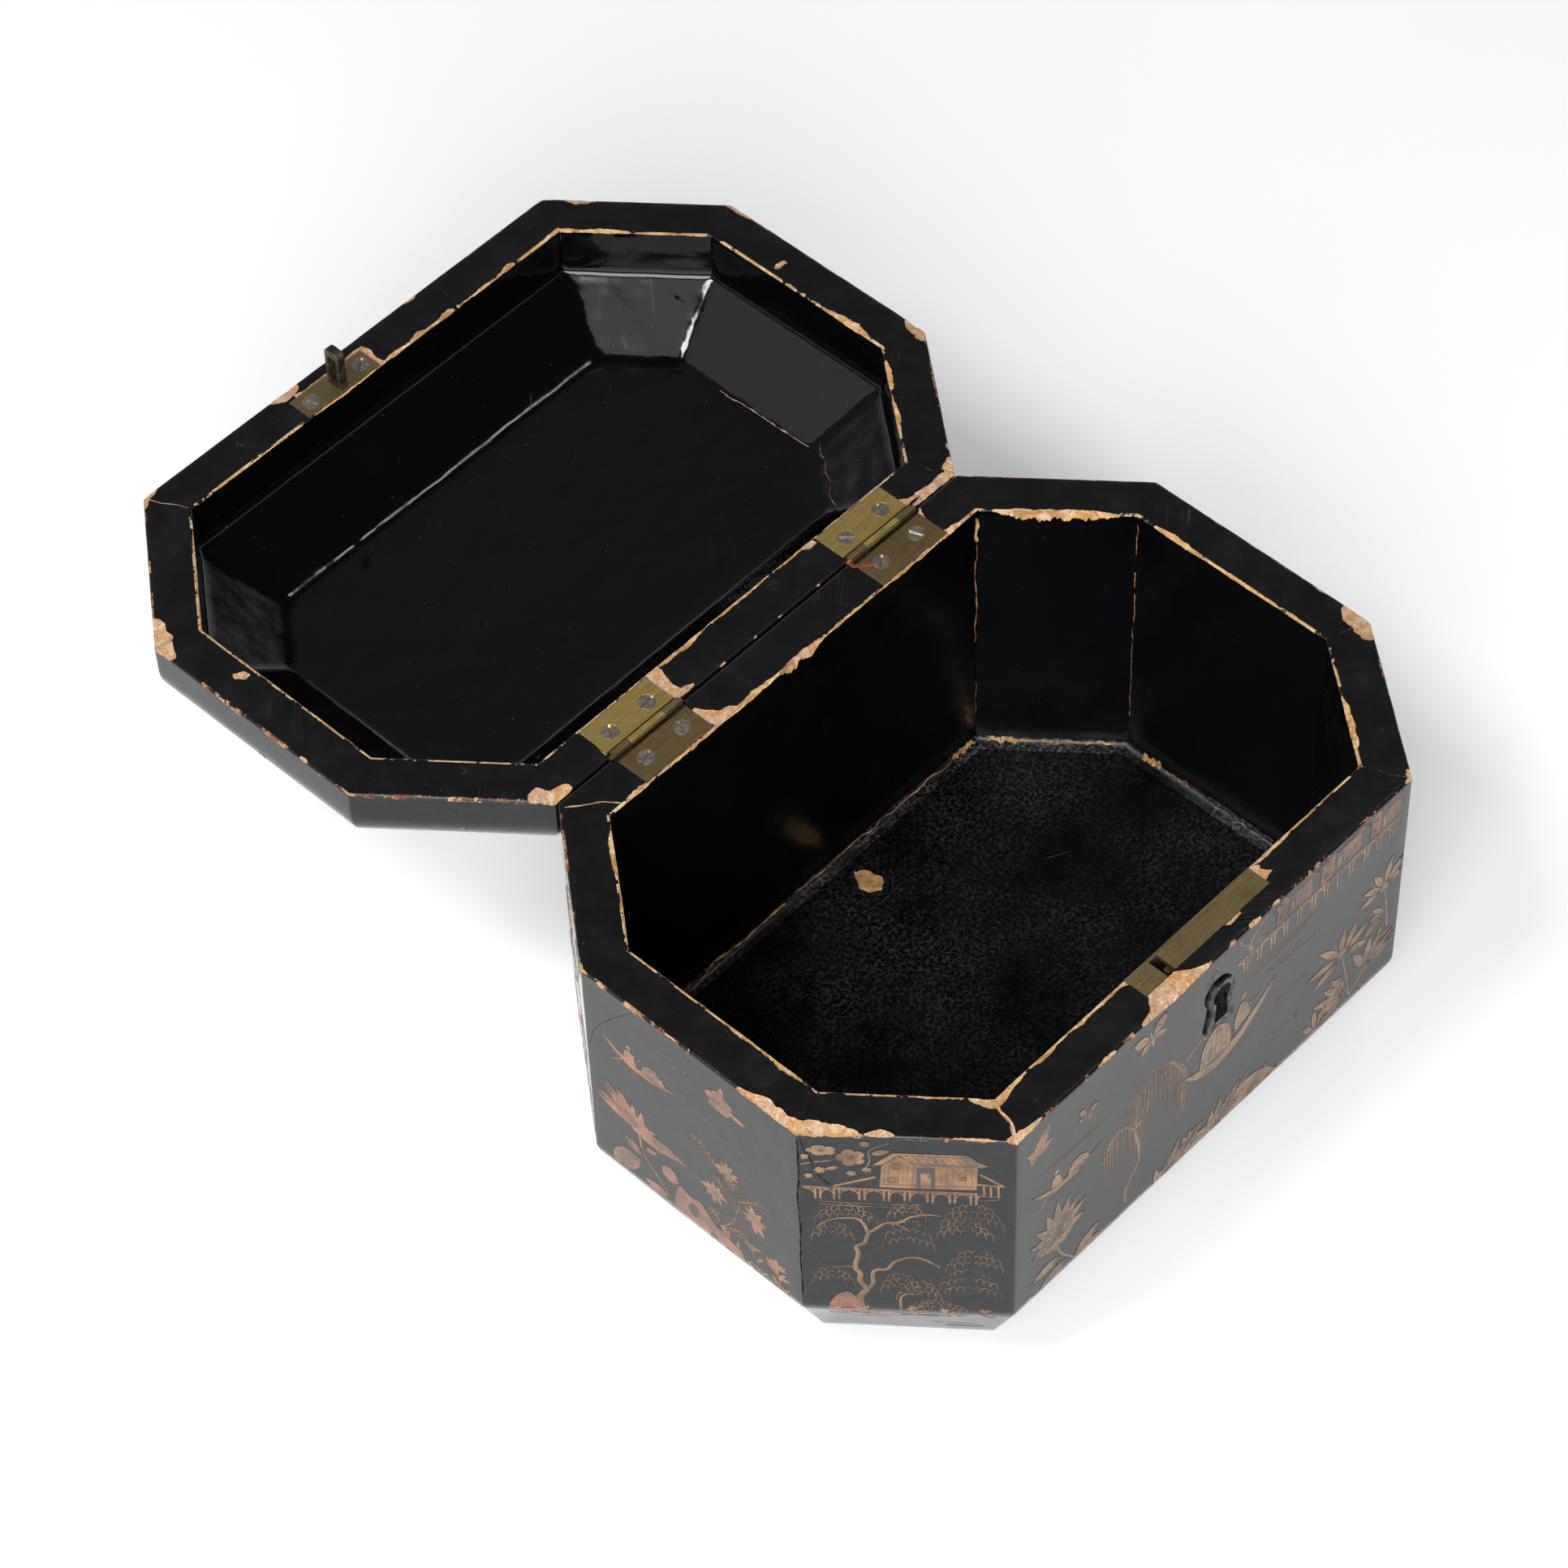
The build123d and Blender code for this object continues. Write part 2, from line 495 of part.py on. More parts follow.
# ---- everything, by node name ----
def build():
    """Every piece as it lies with the lid fully open."""
    nodes = {}
    wall = wall_section()
    rail, slope = lid_sections()
    for index, (name, _, _) in enumerate(SIDES):
        nodes[f"body_{name}_wall"] = board(index, wall)
        nodes[f"lid_{name}_rail"] = board(index, rail)
        nodes[f"lid_{name}_slope"] = board(index, slope)
    nodes["bottom_board"] = bottom_board()
    nodes["lid_top_board"] = top_board()

    box_screws, lid_screws = [], []
    for i, (centre, name) in enumerate(zip(HINGE_CENTRES, HINGE_NAMES)):
        ends, middle = knuckle_spans(centre)
        nodes["body_back_wall"] -= hinge_seat(centre, -1)
        nodes["lid_back_rail"] -= hinge_seat(centre, 1)
        nodes[f"hinge_{name}_body_leaf"] = leaf(centre, ends, middle, PIN_RADII[i], -1)
        nodes[f"hinge_{name}_lid_leaf"] = leaf(centre, middle, ends, PIN_RADII[i] + RUNNING_CLEARANCE, 1)
        nodes[f"hinge_{name}_pin"] = hinge_pin(centre, PIN_RADII[i])
        for j, (x, y) in enumerate(screw_spots(centre)):
            box_screws.append(Pos(x, y, BODY_HEIGHT) * screw(BOX_SCREW_TURNS[i][j]))
            lid_screws.append(Pos(x, y, LID_RIM) * facing(screw(LID_SCREW_TURNS[i][j]), 1))
    nodes["hinge_right_pin"] += wire_tail(HINGE_CENTRES[1])
    nodes["hinge_body_screws"] = Compound(children=box_screws)
    nodes["hinge_lid_screws"] = Compound(children=lid_screws)

    nodes["body_front_wall"] -= lock_seat()
    nodes["lock_plate"] = lock_plate()
    nodes["lock_case"] = lock_case()
    nodes["lock_bolt"] = bolt()
    nodes["lock_bolt_studs"] = Compound(children=bolt_studs())
    nodes["lock_spring"] = bolt_spring()
    nodes["lock_key_pin"] = rod_y(KEY_PIN_RADIUS, CASE_BACK, CASE_BACK - KEY_PIN_LENGTH, KEY_X, KEY_Z)
    nodes["lock_nails"] = Compound(children=lock_nails())
    nodes["keyhole_escutcheon"] = escutcheon()

    nodes["lid_front_rail"] -= striker_seat()
    nodes["striker_plate"] = striker_plate()
    nodes["striker_staple"] = staple()
    striker_y = FRONT_INSIDE - STRIKER_SETBACK - STRIKER_WIDTH / 2
    nodes["striker_screws"] = Compound(children=[
        Pos(x, striker_y, LID_RIM) * facing(screw(turn), 1) for x, turn in STRIKER_SCREWS])

    for name in nodes:
        if name.startswith(("lid_", "striker_")) or name.endswith("_lid_leaf") or name == "hinge_lid_screws":
            nodes[name] = turned_back(nodes[name])
    return nodes


os.makedirs("parts", exist_ok=True)
for node, shape in build().items():
    export_step(shape, f"parts/{node}.step")
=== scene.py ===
import bpy
import bmesh
import math
import random
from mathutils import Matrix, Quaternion, Vector, noise
from mathutils.bvhtree import BVHTree
from mathutils.geometry import delaunay_2d_cdt


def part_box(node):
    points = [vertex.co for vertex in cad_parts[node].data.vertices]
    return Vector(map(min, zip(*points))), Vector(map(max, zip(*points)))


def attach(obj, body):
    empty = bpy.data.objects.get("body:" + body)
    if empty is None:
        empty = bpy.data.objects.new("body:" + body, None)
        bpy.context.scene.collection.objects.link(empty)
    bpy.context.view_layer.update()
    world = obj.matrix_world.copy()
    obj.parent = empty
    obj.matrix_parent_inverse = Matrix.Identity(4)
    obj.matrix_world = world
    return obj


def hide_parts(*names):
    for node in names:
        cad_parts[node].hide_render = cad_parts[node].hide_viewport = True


# Looks of the lacquered deed box. Shapes are drawn in millimetres in the CAD frame with the lid shut, and
# turned into metres, with the lid laid back, when each mesh is made.
MM = 0.001
RANDOM_SEED = 7

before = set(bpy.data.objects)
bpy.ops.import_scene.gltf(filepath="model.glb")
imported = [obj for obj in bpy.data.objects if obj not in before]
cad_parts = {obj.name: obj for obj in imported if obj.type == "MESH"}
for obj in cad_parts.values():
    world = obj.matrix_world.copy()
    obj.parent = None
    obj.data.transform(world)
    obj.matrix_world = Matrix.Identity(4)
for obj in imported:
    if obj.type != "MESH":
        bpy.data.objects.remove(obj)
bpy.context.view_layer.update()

# ---- sizes shared with the CAD model, in mm ----
LENGTH, WIDTH, BODY_HEIGHT = 260.0, 185.0, 120.0
CORNER_ALONG, CORNER_ACROSS = 40.0, 49.0
WALL = 15.0
FLOOR_TOP = 6.5
CANT_HEIGHT, FOOT_INSET, BASE_ROUND = 29.0, 13.3, 10.0
LID_RIM = 120.3
BAND_DEPTH, LID_INSIDE_DEPTH, LID_DEPTH = 19.0, 35.0, 43.0
TOP_INSET, CROWN_INSET, SHOULDER_DEPTH, LID_ROUND = 41.0, 38.7, 19.2, 14.0
AXIS_Y, AXIS_Z = 92.85, 120.15

# ---- finish sizes, in mm ----
CORNER_SOFT = 1.6          # rounding of the upright outer corners
RIM_SOFT = 0.8             # rounding of the outer edge of a rim
LIP_SOFT = 0.5             # rounding of the inner edge of a rim
FOOT_FILLET = 2.4          # lacquer run into the corner between walls and floor
MESH_STEP = 3.0
CHIP_STEP, CHIP_LEAST = 0.45, 0.03
CHIP_OUT, CHIP_OVER = 1.2, 1.0   # how far a chip's cutter stands out from the wall and above the rim
LACQUER_THICK = 0.25
PATCH_DEPTH = 0.4


# ---- the eight-sided plan ----
def side_list():
    """Outward direction and distance of each side, anticlockwise from the front."""
    slant = math.hypot(CORNER_ALONG, CORNER_ACROSS)
    nx, ny = CORNER_ACROSS / slant, CORNER_ALONG / slant
    reach = nx * LENGTH / 2 + ny * (WIDTH / 2 - CORNER_ACROSS)
    return [((0, -1), WIDTH / 2), ((nx, -ny), reach), ((1, 0), LENGTH / 2), ((nx, ny), reach),
            ((0, 1), WIDTH / 2), ((-nx, ny), reach), ((-1, 0), LENGTH / 2), ((-nx, -ny), reach)]


SIDES = side_list()
FRONT, FRONT_RIGHT, RIGHT_END, BACK_RIGHT, BACK, BACK_LEFT, LEFT_END, FRONT_LEFT = range(8)


def corner(index, inset):
    """Where side index meets the next one, with every side moved in by inset."""
    (ax, ay), a_reach = SIDES[index % 8]
    (bx, by), b_reach = SIDES[(index + 1) % 8]
    a, b = a_reach - inset, b_reach - inset
    cross = ax * by - ay * bx
    return Vector(((a * by - b * ay) / cross, (ax * b - bx * a) / cross))


def side_length(index):
    return (corner(index, 0) - corner(index - 1, 0)).length


def at(side, along):
    """A place on the way round: along is millimetres from the side's start, anticlockwise."""
    return side + along / side_length(side)


def round_the_box(place, inset):
    """The plan point at a place on the way round, inset from the outside."""
    index = math.floor(place)
    share = place - index
    return corner(index - 1, inset).lerp(corner(index, inset), share)


def shut_to_open(point):
    """A point of the lid drawn shut, where it lies with the lid turned right back."""
    return Vector((point[0], 2 * AXIS_Y - point[1], 2 * AXIS_Z - point[2]))


def wave(point, size, seed=0.0):
    """Smooth noise from about -1 to 1 that changes over the given size in mm."""
    return noise.noise(Vector(point) / size + Vector((seed * 7.3, seed * 3.1, seed * 5.7)))


# ---- meshes ----
def add_object(name, data):
    obj = bpy.data.objects.new(name, data)
    bpy.context.scene.collection.objects.link(obj)
    return obj


def make_object(name, points, faces, slots, materials, lid=False):
    """A mesh object in metres from points in mm; slots gives the material number of each face."""
    places = [shut_to_open(p) if lid else p for p in points]
    mesh = bpy.data.meshes.new(name)
    mesh.from_pydata([Vector(p) * MM for p in places], [], faces)
    for material in materials:
        mesh.materials.append(material)
    mesh.polygons.foreach_set("material_index", slots)
    mesh.update()
    return add_object(name, mesh)


def shade(obj, degrees):
    """Smooth shading, with edges sharper than the angle kept crisp."""
    mesh = obj.data
    mesh.polygons.foreach_set("use_smooth", [True] * len(mesh.polygons))
    mesh.set_sharp_from_angle(angle=math.radians(degrees))


def apply_modifiers(obj):
    """Puts what the modifiers make into the mesh itself."""
    bpy.context.view_layer.update()
    depsgraph = bpy.context.evaluated_depsgraph_get()
    made = bpy.data.meshes.new_from_object(obj.evaluated_get(depsgraph), depsgraph=depsgraph)
    obj.modifiers.clear()
    old = obj.data
    obj.data = made
    bpy.data.meshes.remove(old)


def face_outwards(obj):
    """Turns every face outwards."""
    work = bmesh.new()
    work.from_mesh(obj.data)
    bmesh.ops.recalc_face_normals(work, faces=work.faces)
    work.to_mesh(obj.data)
    work.free()


# ---- shells ----
ARC_STEPS = 4
OUTSIDE, RIM, INSIDE, BARE, GAP, EDGE, LIP, UNDER, FLOOR, WOOD, FILLET = range(11)


def ring(inset, height, radius):
    """One turn round the octagon, with rounded corners and the same number of points each time."""
    points = []
    for side in range(8):
        (nx, ny), _ = SIDES[side]
        (mx, my), _ = SIDES[(side + 1) % 8]
        start = corner(side - 1, inset + radius) + Vector((nx, ny)) * radius
        centre = corner(side, inset + radius)
        end = centre + Vector((nx, ny)) * radius
        steps = max(2, round(side_length(side) / MESH_STEP))
        points += [start.lerp(end, k / steps) for k in range(steps)]
        turn = math.atan2(nx * my - ny * mx, nx * mx + ny * my)
        for k in range(ARC_STEPS):
            angle = math.atan2(ny, nx) + turn * k / ARC_STEPS
            points.append(centre + radius * Vector((math.cos(angle), math.sin(angle))))
    return [Vector((p.x, p.y, height)) for p in points]


def shrink(points, share):
    """The same turn drawn in towards the middle."""
    return [Vector((p.x * share, p.y * share, p.z)) for p in points]


def arc(centre, radius, first, last, steps):
    """Points of a profile round a centre, angles in degrees."""
    turns = [math.radians(first + (last - first) * k / steps) for k in range(steps + 1)]
    return [(centre[0] + radius * math.cos(a), centre[1] + radius * math.sin(a)) for a in turns]


def spaced(start, end, step=MESH_STEP):
    """Points between two profile points, without the ends."""
    count = max(1, round(math.dist(start, end) / step))
    for k in range(1, count):
        share = k / count
        yield start[0] + (end[0] - start[0]) * share, start[1] + (end[1] - start[1]) * share


def band(points, soft, zone):
    """Profile rows from (inset, depth) points, with one corner radius and one zone."""
    return [(inset, depth, soft, zone) for inset, depth in points]


def box_profile():
    """(inset, depth below the rim, corner radius, zone of the band that follows), outside to inside."""
    lean = math.atan2(FOOT_INSET, CANT_HEIGHT)
    reach = BASE_ROUND * math.tan(lean / 2)
    low = (reach * math.sin(lean), BODY_HEIGHT - CANT_HEIGHT + reach * math.cos(lean))
    foot = (FOOT_INSET - 0.4, BODY_HEIGHT - 0.5)
    rows = [(FOOT_INSET + 0.5, BODY_HEIGHT, 1.2, UNDER), (FOOT_INSET, BODY_HEIGHT - 0.12, 1.2, OUTSIDE)]
    rows += band([foot, *spaced(foot, low), low], CORNER_SOFT, OUTSIDE)
    centre = (BASE_ROUND, BODY_HEIGHT - CANT_HEIGHT - reach)
    rows += band(arc(centre, BASE_ROUND, 180 - math.degrees(lean), 180, 7)[1:], CORNER_SOFT, OUTSIDE)
    rows += wall_and_rim(rows[-1][1])
    floor = BODY_HEIGHT - FLOOR_TOP
    last = (WALL, floor - FOOT_FILLET)
    rows += band([*spaced((WALL, LIP_SOFT), last), last], 1.0, INSIDE)
    rows += band(arc((WALL + FOOT_FILLET, last[1]), FOOT_FILLET, 180, 90, 5)[1:], 2.4, FILLET)
    rows.append((18.4, floor, 2.6, FILLET))
    return rows + band([(i, floor) for i in (19.6, 22.0, 25.0, 28.0)], 3.0, FLOOR)


def wall_and_rim(start_depth):
    """The outer wall from a depth up to the rim, over it, and to the inner lip."""
    rows = band(spaced((0, start_depth), (0, RIM_SOFT + 0.6)), CORNER_SOFT, OUTSIDE)
    rows.append((0, RIM_SOFT + 0.6, CORNER_SOFT, EDGE))
    rows += band(arc((RIM_SOFT, RIM_SOFT), RIM_SOFT, 180, 270, 3), CORNER_SOFT, EDGE)
    rows[-1] = (RIM_SOFT, 0, CORNER_SOFT, RIM)
    rows += band([(i, 0) for i in (2.2, 4.7, 7.2, 9.7, 12.2)], 1.2, RIM)
    rows.append((WALL - LIP_SOFT - 0.4, 0, 0.8, LIP))
    rows += band(arc((WALL - LIP_SOFT, LIP_SOFT), LIP_SOFT, 270, 360, 3), 0.8, LIP)
    rows[-1] = (WALL, LIP_SOFT, 0.8, INSIDE)
    return rows


def lid_profile():
    """The same for the lid: flat top, sloping boards, band, rim, and back inside."""
    slope = math.atan2(LID_INSIDE_DEPTH - BAND_DEPTH, TOP_INSET - WALL)
    reach = LID_ROUND * math.tan((math.pi / 2 - slope) / 2)
    low = (reach * math.cos(slope), SHOULDER_DEPTH + reach * math.sin(slope))
    near = (CROWN_INSET - 1.5 * math.cos(slope), LID_DEPTH - 1.5 * math.sin(slope))
    rows = [(CROWN_INSET + 5, LID_DEPTH, 2.5, OUTSIDE), (CROWN_INSET + 1.5, LID_DEPTH - 0.05, 2.5, OUTSIDE),
            (CROWN_INSET - 0.1, LID_DEPTH - 0.45, 2.2, OUTSIDE)]
    rows += band([near, *spaced(near, low), low], 2.0, OUTSIDE)
    centre = (LID_ROUND, SHOULDER_DEPTH - reach)
    rows += band(arc(centre, LID_ROUND, 90 + math.degrees(slope), 180, 7)[1:], CORNER_SOFT, OUTSIDE)
    rows += wall_and_rim(rows[-1][1])
    rows += band(spaced((WALL, LIP_SOFT), (WALL, BAND_DEPTH - 1.5), 2.5), 1.5, INSIDE)
    rows += [(WALL + 0.1, BAND_DEPTH - 0.9, 2.0, INSIDE), (WALL + 0.5, BAND_DEPTH - 0.1, 4.0, INSIDE)]
    start, end = (WALL + 1.4, BAND_DEPTH + 0.7), (TOP_INSET - 2.6, LID_INSIDE_DEPTH - 1.60)
    rows += band([start, *spaced(start, end, 2.5), end], 8.0, INSIDE)
    turn = ((-1.6, 1.03), (-0.6, 0.58), (0.4, 0.26), (1.4, 0.07), (2.4, 0.0))
    return rows + band([(TOP_INSET + i, LID_INSIDE_DEPTH - d) for i, d in turn], 8.0, INSIDE)


# Waves of a hand-worked surface in each zone: height and size in mm, and what is added to the seed.
PLAIN_WAVES = ((0.07, 45, 0), (0.02, 13, 0))
RIM_WAVES = ((0.02, 14, 0),)
FLOOR_WAVES = ((0.12, 30, 0), (0.05, 11, 0))
WAVES = {RIM: RIM_WAVES, LIP: RIM_WAVES, EDGE: ((0.10, 9, 0), (0.05, 3, 0)), FLOOR: FLOOR_WAVES,
         FILLET: FLOOR_WAVES, INSIDE: ((0.20, 30, 0), (0.10, 11, 0), (0.06, 5.5, 1))}


def ripple(point, zone, seed):
    """How far a hand-worked surface stands off its true place, in mm."""
    return sum(high * wave(point, size, seed + more) for high, size, more in WAVES.get(zone, PLAIN_WAVES))


def shell(name, profile, rim_height, up, materials, seed):
    """A closed shell swept round the octagon. up is 1 with the wood below the rim and -1 above it."""
    points, faces, slots = [], [], []
    rings = [ring(inset, rim_height - up * depth, radius) for inset, depth, radius, _ in profile]
    zones = [zone for *_, zone in profile]
    first, last = rings[0], rings[-1]
    outer = [shrink(first, k / 9) for k in range(1, 9)]
    inner = [shrink(last, s) for s in (0.8, 0.6, 0.4, 0.2)]
    rings = outer + rings + inner
    zones = [UNDER if up > 0 else OUTSIDE] * len(outer) + zones + [zones[-1]] * len(inner)
    count = len(first)
    for row, (turn, zone) in enumerate(zip(rings, zones)):
        for p in turn:
            away = Vector((p.x, p.y, 0)).normalized()
            off = ripple(p, zone, seed)
            flat = zone in (RIM, LIP) or row < len(outer) or row >= len(rings) - len(inner)
            points.append(p + (Vector((0, 0, up * off * 0.6)) if flat else away * off))
    for row in range(len(rings) - 1):
        a, b = row * count, (row + 1) * count
        for k in range(count):
            n = (k + 1) % count
            faces.append((a + k, a + n, b + n, b + k))
            slots.append(zones[row])
    for turn, zone in ((0, zones[0]), (len(rings) - 1, zones[-1])):
        middle = len(points)
        points.append(Vector((0, 0, rings[turn][0].z)))
        for k in range(count):
            faces.append((turn * count + k, turn * count + (k + 1) % count, middle))
            slots.append(zone)
    obj = make_object(name, points, faces, slots, materials, lid=up < 0)
    face_outwards(obj)
    return obj


# ---- wear: pieces of lacquer and wood that are cut away ----
class Cutter:
    """Closed solids, gathered into one mesh, that are cut out of a shell."""

    def __init__(self, rim_height, up, seed):
        self.rim, self.up, self.seed = rim_height, up, seed
        self.points, self.faces, self.slots = [], [], []

    def place(self, where, inset, depth):
        p = round_the_box(where, inset)
        return Vector((p.x, p.y, self.rim - self.up * depth))

    def sweep(self, sections, slot=GAP):
        """A closed solid through a row of sections with as many points each."""
        base, count = len(self.points), len(sections[0])
        for section in sections:
            self.points += section
        for row in range(len(sections) - 1):
            a, b = base + row * count, base + (row + 1) * count
            for k in range(count):
                n = (k + 1) % count
                self.faces.append((a + k, a + n, b + n, b + k))
                self.slots.append(slot)
        for start in (base, base + (len(sections) - 1) * count):
            self.faces.append(tuple(range(start, start + count)))
            self.slots.append(slot)

    def edge_chips(self, inner, *rows):
        """Chips (start, end, width, drop) along sides. An end below its start is on the next side."""
        for side, *chips in rows:
            for start, end, width, drop in chips:
                self.edge_chip(at(side, start), at(side + (end < start), end), width, drop, inner)

    def edge_chip(self, start, end, width, drop, inner):
        """Lacquer lost along a rim's edge: width is on the rim and drop is down the wall, at their most."""
        self.seed += 1
        length = path_length(start, end)
        steps = max(4, round(length / CHIP_STEP))
        edge, sign, slot = (WALL, -1, WOOD) if inner else (0.0, 1, BARE)
        sections = []
        for k in range(steps + 1):
            share = k / steps
            where = start + (end - start) * share
            spot = Vector((share * length, self.seed * 9.1, 0))
            swell = math.sin(math.pi * min(max(share, 0.0), 1.0)) ** 0.45 if 0 < k < steps else 0.0
            rough = 0.74 + 0.42 * wave(spot, 7) + 0.16 * wave(spot, 3.2, 5)
            fine = min(0.34 * width, 0.40) * wave(spot, 1.5, 1) + min(0.2 * width, 0.16) * wave(spot, 0.7, 6)
            w = max(CHIP_LEAST, swell * (width * max(rough, 0.15) + fine))
            lost = 0.65 + 0.5 * wave(spot, 4.5, 2) + 0.3 * wave(spot, 1.5, 3) + 0.15 * wave(spot, 0.7, 7)
            d = max(CHIP_LEAST, drop * swell * max(lost, 0.1))
            hollow = 0.18 * min(w, d) * (1 + wave(spot, 2.0, 4))
            thick = min(LACQUER_THICK, 0.5 * d)
            outline = [(-CHIP_OUT, -CHIP_OVER), (w + 0.1, -CHIP_OVER), (w, thick),
                       (w * 0.5 - hollow * 0.3, d * 0.55 + hollow), (min(0.15, 0.3 * w), d), (-CHIP_OUT, d)]
            sections.append([self.place(where, edge + sign * a, z) for a, z in outline])
        self.sweep(sections, slot)

    def patches(self, side, *outlines, depth=PATCH_DEPTH):
        """Lacquer lost on the flat of a rim: outlines of (along, inset) points made ragged."""
        for outline in outlines:
            self.seed += 1
            ragged = ragged_outline(outline, 0.6, 0.45, self.seed)
            self.sweep([[self.place(at(side, u), v, z) for u, v in ragged] for z in (-0.8, depth)], BARE)

    def crack(self, path, normal, width, depth, slot=GAP):
        """A thin ragged groove along a path of points in mm, sunk against the normal."""
        self.seed += 1
        normal = Vector(normal).normalized()
        fine = resample([Vector(p) for p in path], 0.9)
        sections = []
        for k, p in enumerate(fine):
            ahead = fine[min(k + 1, len(fine) - 1)] - fine[max(k - 1, 0)]
            across = ahead.cross(normal).normalized()
            tip = 0.15 if k in (0, len(fine) - 1) else 1.0
            spot = Vector((k * 0.9, self.seed * 5.3, 0))
            half = width / 2 * tip * max(0.35, 0.8 + 0.9 * wave(spot, 3.0))
            p = p + across * 0.22 * wave(spot, 4.0, 5) + across * 0.10 * wave(spot, 1.2, 6)
            sections.append([p + across * half + normal * 0.6, p + across * half - normal * depth * 0.4,
                             p - normal * depth, p - across * half - normal * depth * 0.4,
                             p - across * half + normal * 0.6])
        self.sweep(sections, slot)

    def block(self, low, high):
        """A square-cornered seat between two corners in mm, drawn shut."""
        (x0, y0, z0), (x1, y1, z1) = low, high
        self.sweep([[Vector((x, y, z)) for x, y in ((x0, y0), (x1, y0), (x1, y1), (x0, y1))] for z in (z1, z0)])

    def cut(self, obj, materials):
        """Cuts everything gathered so far out of the object."""
        tool = make_object("cutter", self.points, self.faces, self.slots, materials, lid=self.up < 0)
        face_outwards(tool)
        subtract(obj, tool)
        self.points, self.faces, self.slots = [], [], []


def subtract(obj, tool):
    """Cuts one closed mesh out of another; cut faces take the tool's materials."""
    modifier = obj.modifiers.new("cut", "BOOLEAN")
    modifier.operation = "DIFFERENCE"
    modifier.solver = "MANIFOLD"
    modifier.object = tool
    apply_modifiers(obj)
    bpy.data.objects.remove(tool)


def path_length(start, end):
    """How far it is from one place to another on the way round, in mm."""
    total, here = 0.0, start
    while here < end - 1e-6:
        stop = min(math.floor(here + 1e-6) + 1, end)
        total += (stop - here) * side_length(math.floor(here + 1e-6) % 8)
        here = stop
    return total


def resample(points, step):
    """Points along a polyline about a step apart."""
    out = [points[0]]
    for a, b in zip(points, points[1:]):
        count = max(1, round((b - a).length / step))
        out += [a.lerp(b, k / count) for k in range(1, count + 1)]
    return out


def ragged_outline(outline, step, rough, seed):
    """A closed outline with short uneven edges."""
    points = [Vector((u, v, 0)) for u, v in outline]
    fine = resample(points + points[:1], step)[:-1]
    return [(p.x + rough * (wave(p, 2.2, seed) + 0.4 * wave(p, 0.9, seed + 1)),
             p.y + rough * (wave(p, 2.2, seed + 0.5) + 0.4 * wave(p, 0.9, seed + 1.5))) for p in fine]


# ---- materials ----
class Nodes:
    """Adds nodes to a tree that starts empty."""

    def __init__(self, owner):
        owner.use_nodes = True
        self.tree = owner.node_tree
        self.tree.nodes.clear()

    def node(self, kind, inputs=None, **settings):
        made = self.tree.nodes.new("ShaderNode" + kind)
        for key, value in settings.items():
            setattr(made, key, value)
        for key, value in (inputs or {}).items():
            self.put(made.inputs[key], value)
        return made

    def put(self, socket, value):
        if isinstance(value, bpy.types.NodeSocket):
            self.tree.links.new(value, socket)
        else:
            socket.default_value = value

    def sum(self, operation, a, b=0.0):
        return self.node("Math", {0: a, 1: b}, operation=operation).outputs[0]

    def times(self, a, b):
        return self.sum("MULTIPLY", a, b)

    def most(self, a, b):
        return self.sum("MAXIMUM", a, b)

    def apart(self, a, b):
        return self.sum("ABSOLUTE", self.sum("SUBTRACT", a, b))

    def fade(self, value, low, high, out_low=0.0, out_high=1.0):
        """A clamped, smooth step from low to high."""
        made = self.node("MapRange", {"Value": value, "From Min": low, "From Max": high, "To Min": out_low,
                                      "To Max": out_high}, interpolation_type="SMOOTHSTEP")
        return made.outputs[0]

    def mix(self, share, a, b):
        a, b = ((*c, 1.0) if isinstance(c, tuple) else c for c in (a, b))
        return self.node("Mix", {0: share, 6: a, 7: b}, data_type="RGBA").outputs[2]

    def over(self, base, colour, where, share):
        """The base with a colour laid over it, up to a share of it."""
        return self.mix(self.times(where, share), base, colour)


